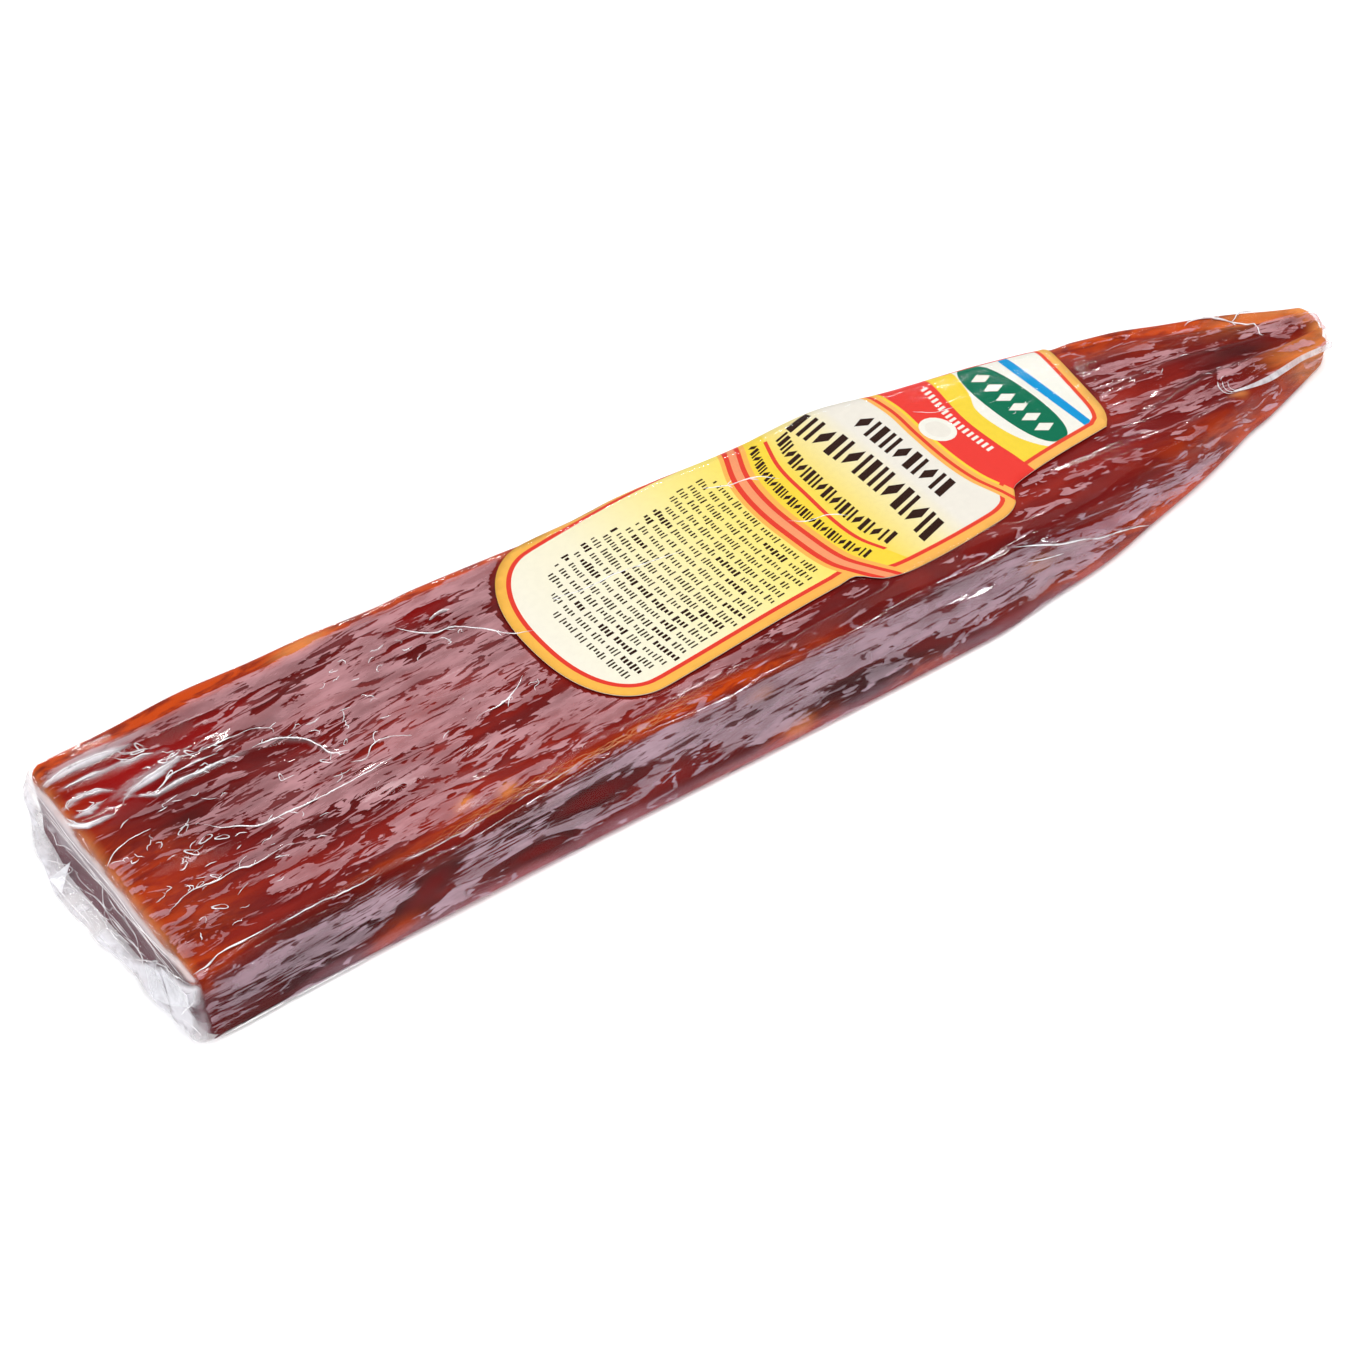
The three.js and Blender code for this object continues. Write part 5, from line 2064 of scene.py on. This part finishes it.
    def _on_cut(self) -> list[Crease]:
        """The lines that follow the edge of the cut and cross its face."""
        pick, found = self.random, list(self.cut_lines)
        for drop, radius in ((1.1, 0.1), (2.4, 0.07), (3.4, 0.06)):
            y = np.linspace(-26.5, 34, 16)
            z = 14.2 - drop + 0.4 * np.sin(y * 0.23 + drop)
            found.append(Crease(tuple((-1.5, a, b) for a, b in zip(y, z)), radius, 0.3))
        for _ in range(18):
            y, z = pick.uniform(-12, 18), pick.uniform(4.6, 8.8)
            length, up = pick.uniform(3.5, 10), pick.normal(-0.6, 0.7)
            middle = -2, y + length / 2, z + up / 2 + pick.normal(0, 0.4)
            path = ((-2, y, z), middle, (-2, y + length, z + up))
            found.append(Crease(path, pick.uniform(0.05, 0.09), 0.15))
        for _ in range(16):
            y, z = pick.uniform(-27, 24), pick.uniform(0.9, 3.6)
            length, up = pick.uniform(2, 7), pick.normal(0, 1.2)
            path = ((-4.5, y, z), (-4.5, y + length, max(z + up, 0.7)))
            found.append(Crease(path, pick.uniform(0.05, 0.09), 0.05))
        return found

    def _glints(self) -> list[Crease]:
        """Fine lines along the near shoulder."""
        shifts, knots = (-0.9, -0.4, 0.3, 0.8, 1.5), np.array(self.glint_line)
        return [Crease(tuple(map(tuple, knots + (5 * a, a, 0))), 0.055, 0.8) for a in shifts]

    def _path(self, crease: Crease) -> tuple[list[Vector], list[float]]:
        """Lays a crease on the film as close points, thinner towards its ends.

        Args:
            crease: The crease.

        Returns:
            Points in metres and radii in metres.
        """
        knots = np.array(crease.points, float)
        if knots.shape[1] == 2:
            knots = np.column_stack([knots, np.full(len(knots), self.over_top)])
        steps = np.linalg.norm(np.diff(knots, axis=0), axis=1)
        measure = np.concatenate([[0], np.cumsum(steps)])
        length = measure[-1]
        at = np.linspace(0, length, max(int(length / self.spacing), 5))
        smooth = Profile.path(knots, measure, at)
        phase = self.random.uniform(0, 50)
        smooth[:, 1] += crease.wander * np.array([
            noise.noise((phase + a * 0.35, 1.7, 4.1))
            + 0.45 * noise.noise((phase + a * 1.3, 8.1, 2.2))
            for a in at
        ])
        points, radii = [], []
        for share, point in zip(at / length, to_row(smooth)):
            points.append(self.surface.find_nearest(Vector(point))[0])
            thin = min(1, 5 * share + 0.15, 5 * (1 - share) + 0.15)
            vary = 0.75 + 0.5 * noise.noise((phase + share * length * 0.5, 9.2, 0.4))
            radii.append(crease.radius * MM * thin * vary)
        return points, radii

    def _ridges(
        self, name: str, creases: Sequence[Crease], corners: int, flatness: float,
        material: Material,
    ) -> Object:
        """Makes one piece of some creases.

        Args:
            name: Name of the piece.
            creases: Its creases.
            corners: Corners of a ridge's section.
            flatness: Height of a section as a share of its width.
            material: Its finish.

        Returns:
            The object.
        """
        points, edges, radii = [], [], []
        for path, thick in map(self._path, creases):
            edges += [(k, k + 1) for k in range(len(points), len(points) + len(path) - 1)]
            points += path
            radii += thick
        paths = MeshMaker.plain(name, points, edges)
        MeshMaker.paint(paths, ridge=radii)
        tree = PieceTree("crease_ridges", Corners=corners, Flatness=flatness)
        given, add = tree.given, tree.add
        ridge = {"Name": "ridge"}
        ridge = tree.node("GeometryNodeInputNamedAttribute", ridge, data_type="FLOAT")
        radius = ridge.outputs["Attribute"]
        curve = add("GeometryNodeMeshToCurve", {"Mesh": given["Geometry"]})
        curve = add("GeometryNodeSetCurveNormal", {"Curve": curve}, mode="Z_UP")
        curve = add("GeometryNodeSetCurveRadius", {"Curve": curve, "Radius": radius})
        circle = {"Resolution": given["Corners"], "Radius": 1}
        circle = add("GeometryNodeCurvePrimitiveCircle", circle)
        squash = add("ShaderNodeCombineXYZ", {0: given["Flatness"], 1: 1, 2: 1})
        section = add("GeometryNodeTransform", {"Geometry": circle, "Scale": squash})
        shapes = add("GeometryNodeCurveToMesh", {
            "Curve": curve, "Profile Curve": section, "Scale": radius, "Fill Caps": True,
        })
        obj = tree.grow(paths, name, shapes, material)
        obj.data.polygons.foreach_set("use_smooth", np.full(len(obj.data.polygons), True))
        return obj

    def build(self) -> list[Object]:
        """Makes the creases, the flat ribbons of painted gleams and the glints along the shoulder.

        Returns:
            Their three objects.
        """
        lines = (*self.lines, *self._small(), *self._curled(), *self._barbs(), *self._on_cut())
        white, glint = self.finish.material(), self.glint_finish.material()
        return [
            self._ridges("film_creases", lines, 6, 1.0, white),
            self._ridges("film_folds", self.gleams, 8, 0.22, white),
            self._ridges("shoulder_glints", self._glints(), 5, 0.6, glint),
        ]


@dataclass(frozen=True)
class Bubbles:
    """Small rings where air is caught under the film, white as painted highlights round their
    edges, spread by a node tree.
    """

    creases: Creases
    seed: int = 11
    around: int = 12
    across: int = 4
    smallest: float = 0.5 * MM
    largest: float = 1.3 * MM
    areas: tuple[tuple[float, float, float, float, int], ...] = (
        (16, 0, 8, 6, 4), (10, -8, 7, 8, 3), (24, 21, 7, 4, 4), (48, 8, 12, 8, 3),
        (64, 22, 8, 3, 4), (18, 27, 8, 1.5, 3),
    )

    def _ring(self) -> Object:
        """Makes one small oval ring that is a metre across, to be scaled down.

        Returns:
            The object.
        """
        around, across = self.around, self.across
        points, faces = [], []
        for i, k in product(range(around), range(across)):
            t, u = math.tau * i / around, math.tau * k / across
            thick = 0.07 + 0.05 * math.sin(t + 0.6)
            reach = 0.5 * (1 + 0.2 * math.sin(2 * t + 1) + 0.14 * math.sin(3 * t + 0.4))
            reach += thick * math.cos(u)
            points.append((reach * 2 * math.cos(t), reach * math.sin(t), thick * math.sin(u)))
            j, m = (i + 1) % around, (k + 1) % across
            faces.append((i * across + k, j * across + k, j * across + m, i * across + m))
        return MeshMaker.plain("bubble_ring", points, [], faces)

    def build(self) -> Object:
        """Makes all the rings as one plain mesh.

        Returns:
            The object.
        """
        pick, points = np.random.default_rng(self.seed), []
        for x, y, dx, dy, count in self.areas:
            for _ in range(count):
                above = x + pick.normal(0, dx / 2), y + pick.normal(0, dy / 2), 18
                hit = self.creases.surface.ray_cast(Vector(to_row(above)), Vector((0, 0, -1)))[0]
                if hit is not None:
                    points.append(hit)
        places, ring = MeshMaker.plain("bubble_places", points), self._ring()
        tree = PieceTree("bubble_rings", Seed=3, Smallest=self.smallest, Largest=self.largest)
        given, add, seed = tree.given, tree.add, tree.given["Seed"]
        spots = add("GeometryNodeMeshToPoints", {"Mesh": given["Geometry"]})
        shape = tree.node("GeometryNodeObjectInfo", {"Object": ring}).outputs["Geometry"]
        sizes = {"Min_001": given["Smallest"], "Max_001": given["Largest"], "Seed": seed}
        sizes = tree.node("FunctionNodeRandomValue", sizes, data_type="FLOAT").outputs[1]
        turns = {"Min": (0, 0, -0.4), "Max": (0, 0, 3.6), "Seed": seed}
        turns = add("FunctionNodeRandomValue", turns, data_type="FLOAT_VECTOR")
        shapes = add("GeometryNodeInstanceOnPoints", {
            "Points": spots, "Instance": shape, "Rotation": turns, "Scale": sizes,
        })
        # the rings take the white crease finish, a painted highlight
        obj = tree.grow(places, "film_bubbles", shapes, self.creases.finish.material())
        bpy.data.objects.remove(ring)
        return obj


@dataclass(frozen=True)
class Flaps:
    """Film folded over itself in flat flaps at the cut end, and a strip of it at the tip."""

    cut: CutEnd
    finish: FlapFinish
    thickness: float = 0.12
    cut_flaps: tuple[Outline, ...] = (
        ((-27.6, 12), (-17, 9.4), (-22.5, 5.6), (-27.8, 9.2)),
        ((-17, 9), (-11, 5.2), (-16.5, 2.6), (-22.5, 5.6)), ((19.5, 2.2), (17, 6.6), (15, 2.4)),
    )
    tip_share: float = 0.55
    tip_upper: tuple[Point, ...] = (
        (257.5, -7.6, 12.4), (262, -7.9, 12.2), (267.6, -7.2, 11.4), (273, -6, 10.6),
        (280.3, -4.1, 9.2), (286.5, -3, 7.9), (292.6, -1.9, 6.4),
    )
    tip_lower: tuple[Point, ...] = (
        (257.7, -8.2, 12), (262.5, -9, 11.2), (268.5, -8.6, 9.6), (274.5, -7.2, 8.6),
        (281.8, -5.2, 7.2), (287.5, -4, 5.6), (293, -2, 3.6),
    )
    tip_out: Point = (0.1, -0.75, 0.65)

    def _cut_flap(self, corners: Outline, depth: float) -> tuple[Array, Faces]:
        """Makes one flap on the cut end as a thin closed solid.

        Args:
            corners: Its corners (y, z).
            depth: How far it stands off the film.

        Returns:
            Points and faces.
        """
        corners = np.array(corners, float)
        y, z = rim = np.concatenate([corners, [corners.mean(axis=0)]]).T
        front = np.stack([-self.cut.bulge - self.cut.reach(y, z) - depth, *rim], -1)
        count, faces = len(corners), []
        for k in range(count):
            following = (k + 1) % count
            a, b = k + count + 1, following + count + 1
            faces += [(k, following, count), (b, a, 2 * count + 1), (following, k, a, b)]
        if Label.area(corners) > 0:
            faces = [face[::-1] for face in faces]
        return np.concatenate([front, front + (self.thickness, 0, 0)]), faces

    def _tip_strip(self) -> tuple[Array, Faces]:
        """Makes the strip of clear film along the tip as a thin closed solid.

        Returns:
            Points and faces.
        """
        wide, long = 5, 30
        at = np.linspace(0, 1, long)
        upper, lower = (
            Profile.path(np.array(knots), np.linspace(0, 1, len(knots)), at)
            for knots in (self.tip_upper, self.tip_lower)
        )
        rows = np.array([upper + (lower - upper) * t for t in np.linspace(0, self.tip_share, wide)])
        points = [(rows + np.array(self.tip_out) * lift).reshape(-1, 3) for lift in (0.35, 0.2)]
        under, faces = wide * long, []
        for i, k in product(range(wide - 1), range(long - 1)):
            a, d = i * long + k, (i + 1) * long + k
            face = (a, d, d + 1, a + 1)
            faces += [face, tuple(n + under for n in (a, a + 1, d + 1, d))]
        grid = np.arange(under).reshape(wide, long)
        sides = grid[0], grid[1:, -1], grid[-1, -2::-1], grid[-2:0:-1, 0]
        rim = np.concatenate(sides).tolist()
        faces += [(a, b, b + under, a + under) for a, b in zip(rim, rim[1:] + rim[:1])]
        return np.concatenate(points), faces

    def build(self) -> Object:
        """Makes the flaps as one object.

        Returns:
            The object.
        """
        points, faces, first = [], [], 0
        flaps = [self._cut_flap(c, 0.1 + 0.07 * (k % 3)) for k, c in enumerate(self.cut_flaps)]
        for found, sides in (*flaps, self._tip_strip()):
            points.append(found)
            faces += [tuple(i + first for i in face) for face in sides]
            first += len(found)
        points, materials = np.concatenate(points), [self.finish.material()]
        return MeshMaker.build("folded_film", points, faces, materials, smooth=False)


@dataclass(frozen=True)
class Stand:
    """Where a light or the camera stands: its angles and its distance from what it faces."""

    azimuth_deg: float
    elevation_deg: float
    distance: float

    def place(self, name: str, data: bpy.types.ID, target: Vector) -> Object:
        """Puts a light or a camera there, turned to what it faces.

        Args:
            name: Its name.
            data: The light or the camera.
            target: What it faces.

        Returns:
            The object.
        """
        azimuth, elevation = math.radians(self.azimuth_deg), math.radians(self.elevation_deg)
        level = math.cos(elevation)
        way = Vector((math.sin(azimuth) * level, -math.cos(azimuth) * level, math.sin(elevation)))
        obj = MeshMaker.link(name, data)
        obj.location = target + way * self.distance
        obj.rotation_euler = (-way).to_track_quat("-Z", "Y").to_euler()
        return obj


@dataclass(frozen=True)
class SoftBox:
    """A rectangular light: where it stands, its size and how bright its face is."""

    name: str
    stand: Stand
    width: float
    height: float
    radiance: float
    glints_only: bool = False

    def build(self, target: Vector) -> None:
        """Makes the light.

        Args:
            target: What it faces.
        """
        data = bpy.data.lights.new(self.name, "AREA")
        data.shape = "RECTANGLE"
        data.size, data.size_y = self.width, self.height
        data.energy = self.radiance * math.pi * self.width * self.height
        light = self.stand.place(self.name, data, target)
        light.visible_diffuse = not self.glints_only


@dataclass(frozen=True)
class Studio:
    """The floor, the lights and the camera."""

    camera: Stand = Stand(-35.6, 42.7, 0.6)
    lens: float = 82.667
    target: Point = (-0.026834, -0.003253, 0.0)
    floor_half: float = 3.0
    floor_height: float = -0.0002
    floor_glow: float = 0.22
    air: Colour = (0.92, 0.95, 1.0)
    air_strength: float = 0.25
    boxes: tuple[SoftBox, ...] = (
        SoftBox("overhead_box", Stand(30, 82, 1.6), 1.3, 1.3, 3.6),
        SoftBox("left_box", Stand(-78, 34, 1.6), 1.1, 0.9, 4),
        SoftBox("right_box", Stand(62, 40, 1.7), 1, 0.9, 2),
        SoftBox("far_strip", Stand(151, 24, 1.5), 1.1, 0.06, 60, True),
        SoftBox("ridge_strip", Stand(92, 65, 1.5), 0.1, 1.2, 18, True),
        SoftBox("edge_strip", Stand(228, 28, 1.5), 1, 0.06, 50, True),
        SoftBox("side_strip", Stand(25, 7, 1.5), 0.9, 0.1, 36, True),
    )

    def _floor(self) -> Object:
        """Makes a plain pale floor, lit a little from within as a studio's light table is.

        Returns:
            The floor.
        """
        g = Graph("pale_floor")
        shade = g.ramp(g.noise(g.place(), (3, 3, 3), 0, 2), 0.3, 0.7, 0.93, 0.95)
        colour = g.add("ShaderNodeCombineColor", {0: shade, 1: shade, 2: shade})
        glow = g.add("ShaderNodeEmission", {"Color": colour, "Strength": self.floor_glow})
        paint = g.add("ShaderNodeBsdfDiffuse", {"Color": colour})
        half, low = self.floor_half, self.floor_height
        corners = [(-half, -half, low), (half, -half, low), (half, half, low), (-half, half, low)]
        floor = MeshMaker.plain("floor", corners, [], [(0, 1, 2, 3)])
        floor.data.materials.append(g.finish(g.add("ShaderNodeAddShader", {0: paint, 1: glow})))
        return floor

    def build(self) -> None:
        """Makes the studio and declares its floor as not part of the object."""
        scene, target = bpy.context.scene, Vector(self.target)
        scene.view_settings.view_transform = "Standard"
        scene.world = bpy.data.worlds.new("surroundings")
        scene.world.use_nodes = True
        air = scene.world.node_tree.nodes["Background"].inputs
        air["Color"].default_value = (*self.air, 1)
        air["Strength"].default_value = self.air_strength
        self._floor()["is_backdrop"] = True
        for box in self.boxes:
            box.build(target)
        data = bpy.data.cameras.new("camera")
        data.lens, data.sensor_width, data.clip_start = self.lens, 36, 0.01
        scene.camera = self.camera.place("camera", data, target)
        LOG.info("studio ready")


def declare(piece: Object, node: str) -> None:
    """Ties a piece to the CAD part.

    Args:
        piece: The piece.
        node: The CAD node that it stands for.
    """
    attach(piece, "root")
    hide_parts(node)


def corners(bounds: Iterable[Iterable[float]]) -> list[list[float]]:
    """The lowest and the highest corner of some bounds as plain lists."""
    return [[float(value) for value in corner] for corner in bounds]


def main() -> None:
    """Builds every piece over the CAD part."""
    logging.basicConfig(level=logging.INFO, format="%(name)s %(message)s")
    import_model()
    before = corners(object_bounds())
    shape, layout, cut = BarShape(), LabelPrint(), CutEnd()
    declare(Fillet(shape, cut).build(), PACK_NODE)
    declare(Label(layout, SkinMap(shape, Ring())).build(), LABEL_NODE)
    film = Film(shape, cut, TipEnd(), layout).build()
    declare(film, PACK_NODE)
    creases = Creases(film, CreaseFinish(), CreaseFinish(srgb(244, 164, 96), 0.8))
    for piece in creases.build():
        declare(piece, PACK_NODE)
    declare(Bubbles(creases).build(), PACK_NODE)
    declare(Flaps(cut, FlapFinish()).build(), PACK_NODE)
    Studio().build()
    after = corners(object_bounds())
    LOG.info("size %s", after)


if __name__ == "__main__":
    main()
